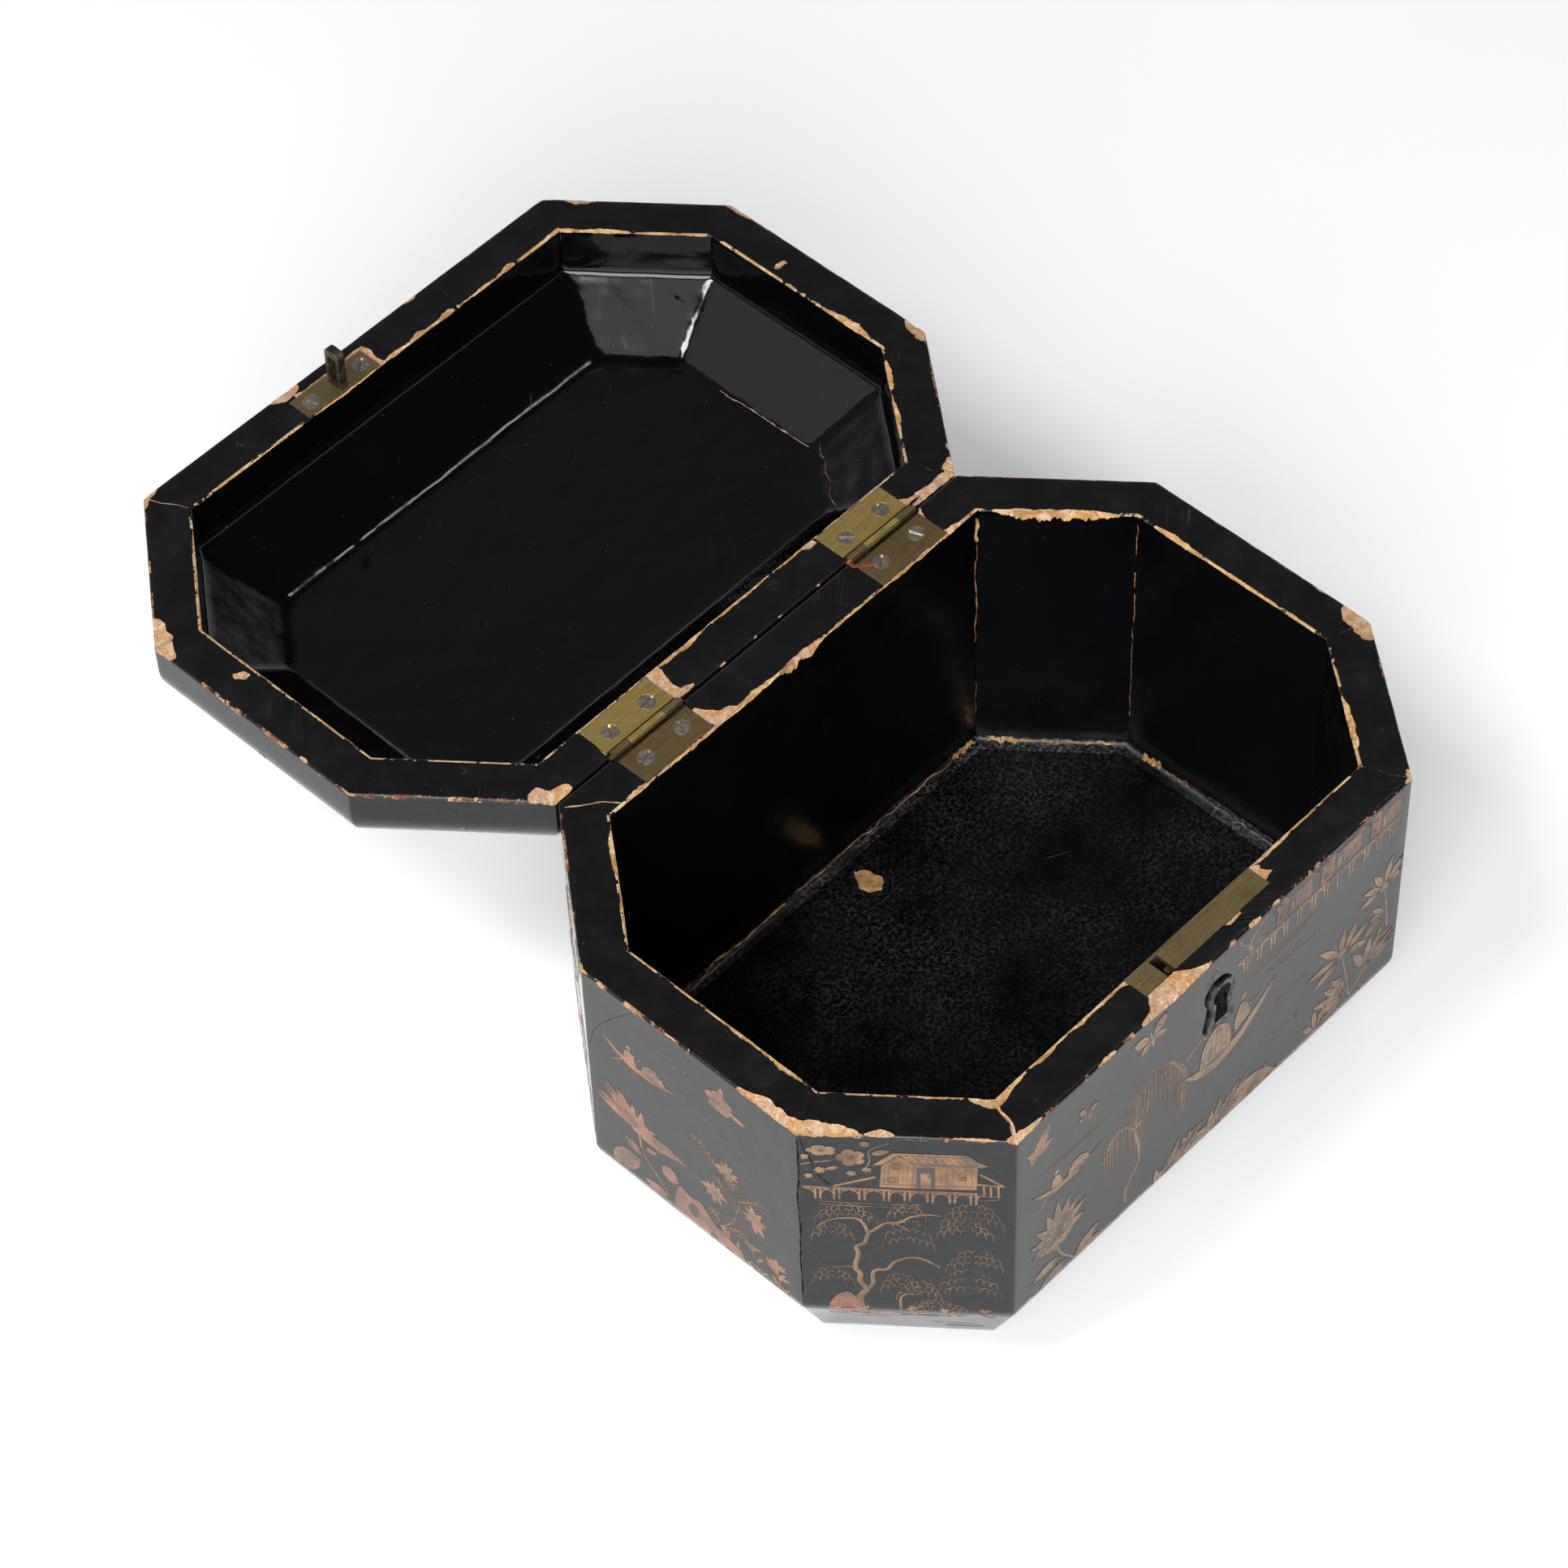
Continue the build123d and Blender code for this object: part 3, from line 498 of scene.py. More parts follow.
class Finish(Nodes):
    """A procedural material under construction. Sizes are in mm; nodes follow the object's own coordinates."""

    def __init__(self, name):
        self.material = bpy.data.materials.new(name)
        super().__init__(self.material)
        output = self.node("OutputMaterial")
        self.shader = self.node("BsdfPrincipled")
        self.put(output.inputs[0], self.shader.outputs[0])
        self.coords = self.node("TexCoord").outputs["Object"]

    def vector(self, sizes, turn=0.0, shift=0.0, tilt=0.0):
        """Coordinates scaled so that one unit is the given size in mm along each axis."""
        tilt, turn = math.radians(tilt), math.radians(turn)
        turned = self.node("Mapping", {"Vector": self.coords, "Rotation": (tilt, tilt, turn),
                                       "Location": (shift, shift * 0.7, shift * 0.3)}).outputs[0]
        scale = tuple(1 / (s * MM) for s in sizes)
        return self.node("Mapping", {"Vector": turned, "Scale": scale}).outputs[0]

    def noise(self, size, detail=3.0, rough=0.5, sizes=None, turn=0.0, shift=0.0, tilt=0.0):
        sizes = sizes or (size, size, size)
        where = self.vector(sizes, turn, shift, tilt)
        inputs = {"Vector": where, "Scale": 1.0, "Detail": detail, "Roughness": rough}
        return self.node("TexNoise", inputs).outputs[0]

    def cells(self, size, shift=0.0):
        made = self.node("TexVoronoi", {"Vector": self.vector((size,) * 3, shift=shift), "Scale": 1.0})
        return made.outputs["Distance"], made.outputs["Color"]

    def from_hinge_line(self):
        """How far a point is from the line of the hinges in plan, in metres."""
        return self.apart(self.node("SeparateXYZ", {"Vector": self.coords}).outputs["Y"], AXIS_Y * MM)

    def bumps(self, *layers, soft=0.0):
        """Bump from (height, depth in mm) layers, over softened edges if asked."""
        normal = None
        if soft:
            normal = self.node("Bevel", {"Radius": soft * MM}, samples=4).outputs[0]
        for height, depth in layers:
            inputs = {"Height": height, "Distance": depth * MM, "Strength": 1.0}
            if normal is not None:
                inputs["Normal"] = normal
            normal = self.node("Bump", inputs).outputs[0]
        self.put(self.shader.inputs["Normal"], normal)

    def surface(self, **values):
        for key, value in values.items():
            name = key.replace("_", " ").title().replace("Ior", "IOR")
            self.put(self.shader.inputs[name], (*value, 1.0) if isinstance(value, tuple) else value)
        return self.material


LACQUER_BLACK = (0.0013, 0.0014, 0.0018)
# The grey of dust, also used as the painted grey sheen on the foot fillet.
DUST_AND_SHEEN_GREY = (0.16, 0.16, 0.165)
GESSO_PINK = (0.50, 0.30, 0.17)
GESSO_TAN = (0.44, 0.25, 0.125)
WOOD_AMBER = (0.55, 0.27, 0.075)
RED_UNDERLAYER = (0.15, 0.040, 0.018)


def specks(finish, size, dot, share, shift):
    """Scattered dots: one in share of the cells holds one."""
    distance, colour = finish.cells(size, shift)
    chance = finish.node("SeparateColor", {"Color": colour}).outputs[0]
    chosen = finish.fade(chance, 1 - share, 1 - share + 0.02)
    return finish.times(finish.fade(distance, dot, dot * 0.6), chosen)


def scratches(finish, turn, shift, amount):
    """Long hairlines in one direction, where a slow noise lets them show."""
    line = finish.noise(1, 0.0, 0.4, sizes=(110, 2.4, 110), turn=turn, shift=shift)
    ridge = finish.fade(finish.apart(line, 0.5), 0.007, 0.0)
    where = finish.fade(finish.noise(30, 2.0, shift=shift + 3), 0.70 - amount, 0.75 - amount)
    return finish.times(ridge, where)


def lacquer(name, gloss, spread, dusty, scuffed, haze=0.0, drips=0.16, ior=1.5, rubs=0.0):
    """Black lacquer: gloss is its roughness at best, spread how much rougher it gets, rubs how dulled it is."""
    f = Finish(name)
    dots = f.most(specks(f, 7, 0.035, 0.5, 0.0), specks(f, 2.6, 0.07, 0.10 + dusty * 0.5, 1.7))
    lines = f.most(scratches(f, 28, 0.4, scuffed), scratches(f, -47, 2.2, scuffed * 0.8))
    cloud = f.fade(f.noise(38, 5.0, 0.62, shift=5), 0.32, 0.78)
    fine = f.fade(f.noise(1.3, 4.0, 0.7, shift=8), 0.42, 0.72)
    # Clouds of grey laid over the black, as much as haze asks: dust, and on the foot fillet also a painted grey
    # sheen along the cove.
    veil = f.times(f.times(cloud, fine), haze)
    base = f.mix(veil, LACQUER_BLACK, DUST_AND_SHEEN_GREY)
    base = f.over(base, DUST_AND_SHEEN_GREY, dots, 0.35 + 0.5 * dusty)
    base = f.over(base, DUST_AND_SHEEN_GREY, lines, 0.22)
    rough = f.fade(f.noise(21, 4.0, 0.6, shift=2), 0.35, 0.75, gloss, gloss + spread)
    rough = f.sum("ADD", rough, f.times(f.most(lines, dots), 0.25))
    f.bumps((f.noise(17, 2.0, 0.4), drips), (f.noise(7.5, 2.0, 0.4, shift=12), drips * 0.32),
            (f.noise(2.4, 2.0, 0.5, shift=4), 0.010), (lines, -0.01))
    if not rubs:
        return f.surface(base_color=base, roughness=rough, ior=ior, specular_tint=(0.94, 0.975, 1.0))
    nicks = f.fade(f.noise(1, 2.0, 0.5, sizes=(0.7, 0.7, 3.4), tilt=40, shift=9), 0.68, 0.73)
    streaks = f.fade(f.noise(1, 4.0, 0.7, sizes=(24, 24, 0.8), tilt=5, shift=14), 0.40, 0.75)
    mottle = f.fade(f.noise(3.0, 5.0, 0.75, shift=16), 0.40, 0.75)
    dulled = f.most(nicks, f.times(f.sum("ADD", streaks, mottle), 0.30))
    sheen = f.mix(f.times(dulled, rubs), (0.96, 0.99, 1.0), (0.24, 0.25, 0.27))
    return f.surface(base_color=base, roughness=rough, ior=ior, specular_tint=sheen)


def rim_lacquer():
    """The satin of the rims, rubbed by the closing lid."""
    f = Finish("rim_lacquer")
    dots = f.most(specks(f, 5, 0.05, 0.5, 0.3), specks(f, 1.6, 0.08, 0.12, 1.1))
    grain = f.noise(0.55, 3.0, 0.7)
    lines = f.most(scratches(f, 35, 1.4, 0.06), scratches(f, -38, 0.2, 0.05))
    rubbed = f.fade(f.noise(16, 4.0, 0.6, shift=3), 0.48, 0.72)
    base = f.mix(f.times(rubbed, 0.6), (0.0028, 0.0028, 0.0032), (0.007, 0.0075, 0.010))
    base = f.over(base, DUST_AND_SHEEN_GREY, dots, 0.5)
    base = f.over(base, DUST_AND_SHEEN_GREY, lines, 0.35)
    rough = f.fade(f.noise(9, 4.0, 0.6), 0.3, 0.7, 0.30, 0.42)
    f.bumps((f.noise(6, 3.0, 0.5), 0.05), (grain, 0.012), (lines, -0.02))
    return f.surface(base_color=base, roughness=rough, ior=1.42)


def worn_edge(name, cover, pale, red):
    """A rim's edge, where the lacquer is rubbed through to what lies under it in short runs."""
    f = Finish(name)
    runs = f.noise(1, 4.0, 0.65, sizes=(7, 7, 7), shift=6)
    fine = f.noise(0.9, 3.0, 0.6, shift=1)
    bare = f.fade(f.sum("ADD", runs, f.times(f.sum("SUBTRACT", fine, 0.5), 0.35)), 0.62 - cover, 0.65 - cover)
    hinge = f.from_hinge_line()
    bare = f.times(bare, f.fade(hinge, 3.0 * MM, 6.0 * MM))
    tone = f.mix(f.fade(f.noise(4, 3.0), 0.40, 0.62), red, pale)
    base = f.mix(bare, LACQUER_BLACK, tone)
    f.bumps((bare, -0.10), (fine, 0.04))
    return f.surface(base_color=base, roughness=f.fade(bare, 0, 1, 0.28, 0.8), ior=1.5)


def bare_ground():
    """Gesso and wood laid open by lost lacquer: crumbling cream and pink, with amber wood and dark flecks."""
    f = Finish("bare_ground")
    patch = f.fade(f.noise(10, 3.0, 0.6, shift=2), 0.46, 0.64)
    crumbs = f.noise(0.9, 5.0, 0.75)
    base = f.mix(patch, GESSO_PINK, WOOD_AMBER)
    base = f.mix(f.fade(f.noise(2.6, 4.0, 0.65, shift=5), 0.44, 0.60), base, (0.62, 0.44, 0.29))
    base = f.mix(f.times(f.fade(crumbs, 0.50, 0.36), 0.75), base, (0.30, 0.135, 0.058))
    flecks = f.fade(f.noise(1.9, 5.0, 0.8, shift=4), 0.60, 0.68)
    base = f.over(base, (0.085, 0.036, 0.018), flecks, 0.8)
    f.bumps((f.noise(1.8, 5.0, 0.7), 0.35), (crumbs, 0.14))
    return f.surface(base_color=base, roughness=0.85, ior=1.45)


def bare_wood():
    """Old softwood at the inner edge of a rim: golden, drawn out along the grain, with pale gesso on it."""
    f = Finish("bare_wood")
    grain = f.noise(1, 4.0, 0.65, sizes=(7, 7, 0.7), turn=38)
    base = f.mix(f.fade(grain, 0.36, 0.64), (0.36, 0.185, 0.06), (0.62, 0.37, 0.135))
    base = f.mix(f.fade(f.noise(6, 4.0, 0.6, shift=4), 0.50, 0.62), base, (0.66, 0.44, 0.27))
    base = f.mix(f.times(f.fade(f.noise(1.4, 4.0, 0.75, shift=2), 0.58, 0.66), 0.8), base, (0.11, 0.05, 0.02))
    f.bumps((grain, 0.12), (f.noise(0.9, 4.0, 0.7), 0.10))
    return f.surface(base_color=base, roughness=0.75, ior=1.45)


def open_joint():
    """The inside of a crack: black, with pale dust and glue along it."""
    f = Finish("open_joint")
    pale = f.fade(f.noise(3.5, 4.0, 0.65, shift=9), 0.56, 0.68)
    base = f.mix(pale, (0.010, 0.007, 0.006), (0.26, 0.17, 0.10))
    f.bumps((f.noise(0.8, 3.0), 0.08))
    return f.surface(base_color=base, roughness=0.8, ior=1.45)


def brass(name, bright, dull, patina, rough):
    """Old brass: bright and dull metal, brown patina, drawn scratches along the plate, and painted shade on the
    flanks of the hinge barrels.
    """
    f = Finish(name)
    drawn = f.noise(1, 3.0, 0.6, sizes=(16, 0.35, 6))
    cloud = f.fade(f.noise(7, 4.0, 0.6, shift=3), 0.38, 0.66)
    spots = f.fade(f.noise(2.2, 4.0, 0.7, shift=7), 0.58, 0.70)
    verdigris = f.fade(f.noise(5.5, 4.0, 0.7, shift=11), 0.70, 0.76)
    base = f.mix(cloud, bright, dull)
    base = f.mix(f.times(f.fade(drawn, 0.42, 0.62), 0.35), base, patina)
    base = f.over(base, patina, spots, 0.75)
    base = f.over(base, (0.10, 0.16, 0.11), verdigris, 0.5)
    # Painted shade: the colour is darkened from about 0.6 to 2.75 mm either side of the hinge line, on the
    # flanks of the barrels, so that the crown stays lighter.
    across = f.from_hinge_line()
    painted_barrel_shade = f.times(f.fade(across, 2.75 * MM, 2.35 * MM, 0.0, 0.9),
                    f.fade(across, 0.6 * MM, 1.5 * MM, 0.12, 1.0))
    base = f.mix(painted_barrel_shade, base, (0.040, 0.028, 0.016))
    roughness = f.sum("ADD", f.fade(cloud, 0, 1, rough, rough + 0.14), f.times(spots, 0.15))
    f.bumps((drawn, 0.02), (f.noise(1.1, 3.0), 0.012), soft=0.22)
    return f.surface(base_color=base, metallic=f.fade(spots, 0, 1, 0.9, 0.55), roughness=roughness)


def steel(name, light, rust):
    """Screw heads: scratched steel with brown in the hollows."""
    f = Finish(name)
    drawn = f.noise(1, 3.0, 0.6, sizes=(1.1, 0.18, 1.0), turn=38)
    stain = f.fade(f.noise(1.7, 4.0, 0.65), 0.46, 0.64)
    base = f.mix(f.times(f.fade(drawn, 0.35, 0.65), 0.6), light, (0.20, 0.19, 0.18))
    base = f.over(base, (0.19, 0.095, 0.045), stain, rust)
    f.bumps((drawn, 0.03), (f.noise(0.9, 3.0), 0.02), soft=0.18)
    return f.surface(base_color=base, metallic=f.fade(stain, 0, 1, 0.95, 0.6),
                     roughness=f.fade(stain, 0, 1, 0.30, 0.5))


def iron(name, light, dark, rough):
    """Blackened iron, rubbed paler where hands reach it."""
    f = Finish(name)
    rubbed = f.fade(f.noise(3.0, 4.0, 0.6), 0.42, 0.66)
    pits = f.fade(f.noise(0.8, 3.0, 0.7, shift=2), 0.60, 0.72)
    base = f.mix(rubbed, dark, light)
    base = f.over(base, (0.035, 0.022, 0.015), pits, 0.6)
    f.bumps((f.noise(2.5, 3.0), 0.05), (pits, -0.04), soft=0.45)
    return f.surface(base_color=base, metallic=0.8, roughness=f.fade(rubbed, 0, 1, rough + 0.15, rough))


def copper():
    """The soft wire that serves as a pin."""
    f = Finish("copper_wire")
    tarnish = f.fade(f.noise(1.4, 3.0, 0.6), 0.45, 0.65)
    base = f.mix(tarnish, (0.72, 0.30, 0.15), (0.26, 0.11, 0.06))
    f.bumps((f.noise(1, 2.0, sizes=(2.0, 0.2, 0.2)), 0.015), soft=0.08)
    return f.surface(base_color=base, metallic=0.9, roughness=f.fade(tarnish, 0, 1, 0.26, 0.5))


OUTSIDE_LACQUER = lacquer("outside_lacquer", 0.06, 0.14, dusty=0.05, scuffed=0.03, ior=1.43, rubs=1.0)
INSIDE_LACQUER = lacquer("box_inside_lacquer", 0.16, 0.16, dusty=0.16, scuffed=0.01, drips=0.16)
LID_INSIDE_LACQUER = lacquer("lid_inside_lacquer", 0.05, 0.13, dusty=0.35, scuffed=0.03, drips=0.45)
FLOOR_LACQUER = lacquer("box_floor_lacquer", 0.24, 0.25, dusty=0.8, scuffed=0.03, haze=0.36, ior=1.22)
# The foot fillet's heavy grey veil is partly dust and partly a painted grey sheen along the cove.
FILLET_LACQUER = lacquer("box_foot_lacquer", 0.26, 0.25, dusty=1.0, scuffed=0.05, haze=1.6)
UNDERSIDE_LACQUER = lacquer("underside_lacquer", 0.32, 0.25, dusty=0.3, scuffed=0.14, haze=0.25)
SHELL_MATERIALS = [
    OUTSIDE_LACQUER, rim_lacquer(), INSIDE_LACQUER, bare_ground(), open_joint(),
    worn_edge("worn_outer_edge", 0.09, GESSO_TAN, RED_UNDERLAYER),
    worn_edge("worn_inner_edge", 0.15, (0.62, 0.44, 0.25), GESSO_TAN),
    UNDERSIDE_LACQUER, FLOOR_LACQUER, bare_wood(), FILLET_LACQUER]
LID_MATERIALS = [LID_INSIDE_LACQUER if m is INSIDE_LACQUER else m for m in SHELL_MATERIALS]


# ---- the worn shells ----
def box_wear(cut):
    """Lost lacquer on the edges of the box's rim, outer and inner."""
    cut.edge_chips(False,
        (LEFT_END, (63, 18, 5.6, 1.9)),
        (FRONT_LEFT, (19, 28.5, 3.0, 0.7), (43, 60, 0.9, 1.0), (60.5, 12, 2.6, 2.2)),
        (FRONT, (35, 44, 1.3, 1.3), (55, 86, 3.2, 2.4), (103.5, 109.5, 1.5, 1.3), (114, 118, 1.4, 1.2),
         (176.5, 3.5, 2.6, 1.8)),
        (FRONT_RIGHT, (55.5, 10, 7.6, 1.6)),
        (RIGHT_END, (15, 23, 1.3, 0.8)),
        (BACK_RIGHT, (57, 4, 1.2, 1.0)),
        (BACK_LEFT, (60.5, 3, 1.0, 1.2)),
        (LEFT_END, (33, 40, 0.6, 0.7)))
    cut.edge_chips(True,
        (BACK_LEFT, (8, 29, 1.9, 1.5), (29.5, 57, 0.8, 0.8), (57.5, 44, 0.55, 0.5)),
        (LEFT_END, (45, 60, 1.5, 0.8), (60.5, 80.5, 2.3, 0.9)),
        (FRONT_LEFT, (8, 31, 0.9, 0.7), (31.5, 53, 1.5, 0.8), (53.5, 15, 4.0, 1.2)),
        (FRONT, (15.5, 30, 2.0, 0.8), (30.5, 62.5, 1.7, 0.7), (121, 147, 1.6, 0.8), (147.5, 171, 0.9, 0.6)),
        (FRONT_RIGHT, (8, 33.5, 2.8, 1.6), (38, 53, 1.0, 0.9)),
        (RIGHT_END, (10.5, 18.5, 1.7, 0.9), (19.5, 56, 1.3, 0.9), (56.5, 80, 2.3, 1.3)),
        (BACK_RIGHT, (6.5, 57.5, 1.9, 4.6)),
        (BACK, (8, 19, 2.3, 1.2), (19.5, 51, 0.8, 1.4), (51.5, 76, 1.1, 0.9), (76.5, 99, 1.8, 5.2),
         (99.5, 125, 2.0, 1.3), (125.5, 157, 0.8, 1.4), (157.5, 172, 1.8, 1.1)))


def box_patches(cut):
    """Lacquer gone from the flat of the box's rim round the lock and the hinge leaves."""
    cut.patches(FRONT,
        [(58.5, 1.2), (60.8, 2.4), (62.8, 4.8), (64.8, 8.3), (72.5, 8.3), (75.5, 6.6), (79.5, 3.6), (84, 1.2)],
        [(54, 15.6), (58, 14.2), (63, 12.4), (64.8, 8.8), (66.2, 8.3), (66.2, 15.6)],
        [(119, 7.6), (126.3, 8.9), (125.0, 11.9), (126.2, 13.2), (123.2, 15.6), (119, 15.6)],
        [(98, 8.0), (101, 4.9), (106.5, 5.4), (108, 8.0)])
    cut.patches(BACK,
        [(126.0, 4.6), (129, 4.6), (129, 15.6), (117.0, 15.6), (119.0, 12.4), (122.8, 10.9), (124.9, 8.2)],
        [(17.8, 1.2), (24, 0.9), (24, 15.6), (10.2, 15.6), (13.8, 13.6), (17.4, 11.6), (18.6, 7.0)],
        [(154, 9.5), (156.9, 10.2), (157.3, 15.6), (154, 15.6)])


def lid_wear(cut):
    """The same on the lid, with its sides named as they are when it is shut."""
    cut.edge_chips(False,
        (FRONT_LEFT, (58.5, 6, 2.4, 1.2)),
        (FRONT, (54.5, 67, 4.6, 1.0), (88, 112, 0.5, 0.5), (114.5, 123, 1.4, 0.8), (174.5, 4, 1.0, 0.9)),
        (FRONT_RIGHT, (7, 18.5, 2.7, 0.9), (61, 12.5, 2.1, 1.0)),
        (RIGHT_END, (78.5, 4.5, 5.6, 1.4)),
        (BACK_RIGHT, (50, 53.5, 1.5, 0.8), (56, 20, 4.3, 1.2)),
        (BACK, (62, 64.5, 0.8, 0.6), (79, 82, 0.8, 0.6), (91, 93.5, 1.0, 0.7), (105, 108.5, 0.8, 0.6),
         (172.5, 8.5, 7.4, 1.8)),
        (BACK_LEFT, (60, 4, 0.7, 0.9)),
        (LEFT_END, (18, 22, 1.2, 1.0), (79, 12, 6.0, 2.0)))
    cut.edge_chips(True,
        (FRONT, (7.5, 20, 1.3, 0.7), (20.5, 57, 0.5, 0.5), (57.5, 93, 0.9, 1.0), (93.2, 105, 1.7, 0.9),
         (105.2, 115, 2.3, 1.0), (115.3, 119.5, 1.0, 0.6), (119.6, 127.5, 2.6, 1.0), (128, 150, 0.8, 0.6),
         (150.5, 158, 1.9, 0.8), (158.5, 9, 2.0, 0.9)),
        (FRONT_RIGHT, (9.5, 30, 2.2, 1.0), (30.5, 56, 0.8, 0.6)),
        (RIGHT_END, (12, 17.5, 0.9, 0.5), (19, 23, 1.1, 0.6), (29, 34, 1.2, 0.6), (38.5, 41, 1.4, 0.6),
         (45.5, 48, 1.4, 0.6), (57.5, 80.5, 3.2, 1.2)),
        (BACK_RIGHT, (7, 24, 2.3, 1.0), (24.5, 50, 1.8, 0.9)),
        (BACK, (50, 68, 1.7, 0.8), (68.5, 97, 1.9, 0.9), (97.5, 126, 2.3, 1.0), (20.5, 49.5, 0.7, 0.8),
         (126.5, 155, 0.6, 0.8), (155.3, 161, 2.2, 0.8)),
        (BACK_LEFT, (12, 18, 1.1, 0.6), (38, 42, 1.0, 0.6)),
        (LEFT_END, (8, 16.5, 0.7, 0.5), (17, 31, 1.4, 0.7), (31.5, 62, 0.6, 0.5), (62.5, 67, 1.5, 0.7),
         (72, 76, 1.5, 0.7), (76.5, 12, 0.7, 0.5)),
        (FRONT_LEFT, (14, 54, 0.7, 0.6)))


def lid_patches(cut):
    """The same on the lid, round the striker and the hinge leaves, and two small losses on the ends."""
    cut.patches(FRONT,
        [(62, 3.2), (66, 4.3), (84, 4.0), (87, 3.6), (92.4, 3.8), (93.6, 7.5), (92.6, 11.5), (93.4, 15.6),
         (89, 15.6), (89, 6), (62, 6)])
    cut.patches(BACK,
        [(129, 0.6), (129, 15.6), (123.4, 15.6), (123.2, 12.0), (124.2, 7.5), (123.0, 3.4), (118.6, 1.6),
         (119, 0.6)],
        [(153, 1.5), (157.6, 1.8), (158.6, 6.5), (158.0, 11.5), (160.2, 15.6), (153, 15.6)],
        [(24, 2.0), (24, 15.6), (14.8, 15.6), (17.2, 13.4), (17.6, 9.5), (19.0, 6.5), (16.4, 3.9), (9, 3.2),
         (8, 2.0)],
        [(48, 12.6), (51.2, 12.4), (53.4, 13.8), (57, 15.6), (48, 15.6)])
    cut.patches(LEFT_END, [(57.6, 10.4), (60.2, 7.9), (62.6, 8.9), (60.8, 12.3), (58.6, 12.6)], depth=0.3)
    cut.patches(RIGHT_END, [(28.9, 10.6), (30.2, 7.0), (32.0, 7.4), (31.2, 11.4), (29.7, 12.2)], depth=0.3)


def mitres(cut, *rows):
    """Open joints across the rim between a side and the next: (side, wander, width, slot)."""
    start, end = 1.0, WALL - 0.6
    for side, wander, width, slot in rows:
        path = [cut.place(side + 1 + bend / side_length(side), start + (end - start) * share, 0)
                for share, bend in ((0.0, 0.0), (0.35, wander), (0.7, -0.6 * wander), (1.0, 0.0))]
        cut.crack(path, (0, 0, cut.up), width, 0.5, slot)


def box_cracks(cut):
    """Open mitres on the box's rim, and a curved crack beside the left hinge."""
    mitres(cut, (FRONT_RIGHT, 0.2, 0.25, GAP), (RIGHT_END, 0.3, 0.25, GAP), (BACK_RIGHT, 0.2, 0.30, GAP),
           (LEFT_END, 0.5, 0.25, GAP), (FRONT, -0.8, 0.30, GAP), (FRONT_LEFT, 0.5, 1.1, BARE))
    curved = ((BACK_LEFT, 1, 1.6), (BACK, 178.5, 5.6), (BACK, 174.5, 9.5), (BACK, 173, 14.2))
    cut.crack([cut.place(at(side, u), v, 0) for side, u, v in curved], (0, 0, 1), 0.5, 0.5, BARE)


def lid_cracks(cut):
    """Open mitres, a split across the back right side, and lost lacquer along the inner top edge."""
    mitres(cut, (FRONT, 0.4, 0.28, GAP), (FRONT_RIGHT, 0.3, 0.22, GAP), (RIGHT_END, 0.4, 0.25, GAP),
           (BACK_RIGHT, 0.5, 0.25, GAP), (BACK, -0.5, 0.25, GAP), (BACK_LEFT, 0.4, 0.25, GAP),
           (LEFT_END, 0.3, 0.25, GAP), (FRONT_LEFT, -0.4, 0.35, BARE))
    split = ((28.3, 0.8), (28.6, 5), (28.1, 9), (28.6, 13.6))
    cut.crack([cut.place(at(BACK_RIGHT, u), v, 0) for u, v in split], (0, 0, -1), 0.28, 0.5)
    for start, end, shift, wander, width in ((RIGHT_END + 0.30, RIGHT_END + 0.99, 0.2, 0.9, 0.34),
                                             (BACK_RIGHT + 0.02, BACK_RIGHT + 0.97, -3.4, 2.2, 0.30),
                                             (BACK + 0.93, BACK + 0.99, -4.0, 3.0, 0.3)):
        path = []
        for k in range(13):
            inset = TOP_INSET + shift + wander * wave((k * 2.1, start * 7, 0), 5) - k * 0.1
            path.append(cut.place(start + (end - start) * k / 12, inset,
                                  LID_INSIDE_DEPTH - 0.5 * max(0.0, TOP_INSET + 0.4 - inset)))
        cut.crack(path, (0, 0, -1), width, 0.4, BARE)


LID_DENTS = ((FRONT, 50, 6.5), (FRONT, 36, 5.8), (FRONT_LEFT, 39, 7), (BACK_LEFT, 29, 10.8),
             (RIGHT_END, 52, 8.6))
BOX_DENTS = ((FRONT_LEFT, 29, 9.0), (BACK_RIGHT, 34, 6.0))


def dent_rings(cut):
    """The edges of small round dents in the rims."""
    turns = [(math.cos(k * 1.2), math.sin(k * 1.2)) for k in range(5)]
    for side, along, inset in LID_DENTS if cut.up < 0 else BOX_DENTS:
        path = [cut.place(at(side, along + 1.9 * x), inset + 1.5 * y, 0) for x, y in turns]
        cut.crack(path, (0, 0, cut.up), 0.35, 0.3)


def foot_cracks(cut):
    """Where the walls have parted from the floor inside the box."""
    floor, steps = BODY_HEIGHT - FLOOR_TOP, 26
    for side, first, last, width, slot in (
            (BACK, 1, 13, 1.5, WOOD), (BACK, 13.5, 96, 0.5, WOOD), (BACK, 101, 168, 0.9, WOOD),
            (BACK_RIGHT, 4, 46, 0.8, WOOD), (BACK_RIGHT, 46.5, 59, 1.7, WOOD), (RIGHT_END, 56, 68, 0.5, WOOD),
            (RIGHT_END, 70, 79, 1.8, WOOD), (RIGHT_END, 10, 53, 0.35, GAP), (BACK_LEFT, 8, 55, 0.4, GAP),
            (LEFT_END, 8, 78, 0.5, WOOD)):
        start, end = at(side, first), at(side, last)
        path = []
        for k in range(steps + 1):
            turn = 0.8 + 0.6 * wave((k * 2.3, start * 9, 0), 7) + 0.2 * wave((k * 2.3, start * 9, 5), 2.5)
            path.append(cut.place(start + (end - start) * k / steps, WALL + FOOT_FILLET * (1 - math.cos(turn)),
                                  floor - FOOT_FILLET * (1 - math.sin(turn))))
        (nx, ny), _ = SIDES[side]
        cut.crack(path, (-nx, -ny, 1), width, 0.5, slot)


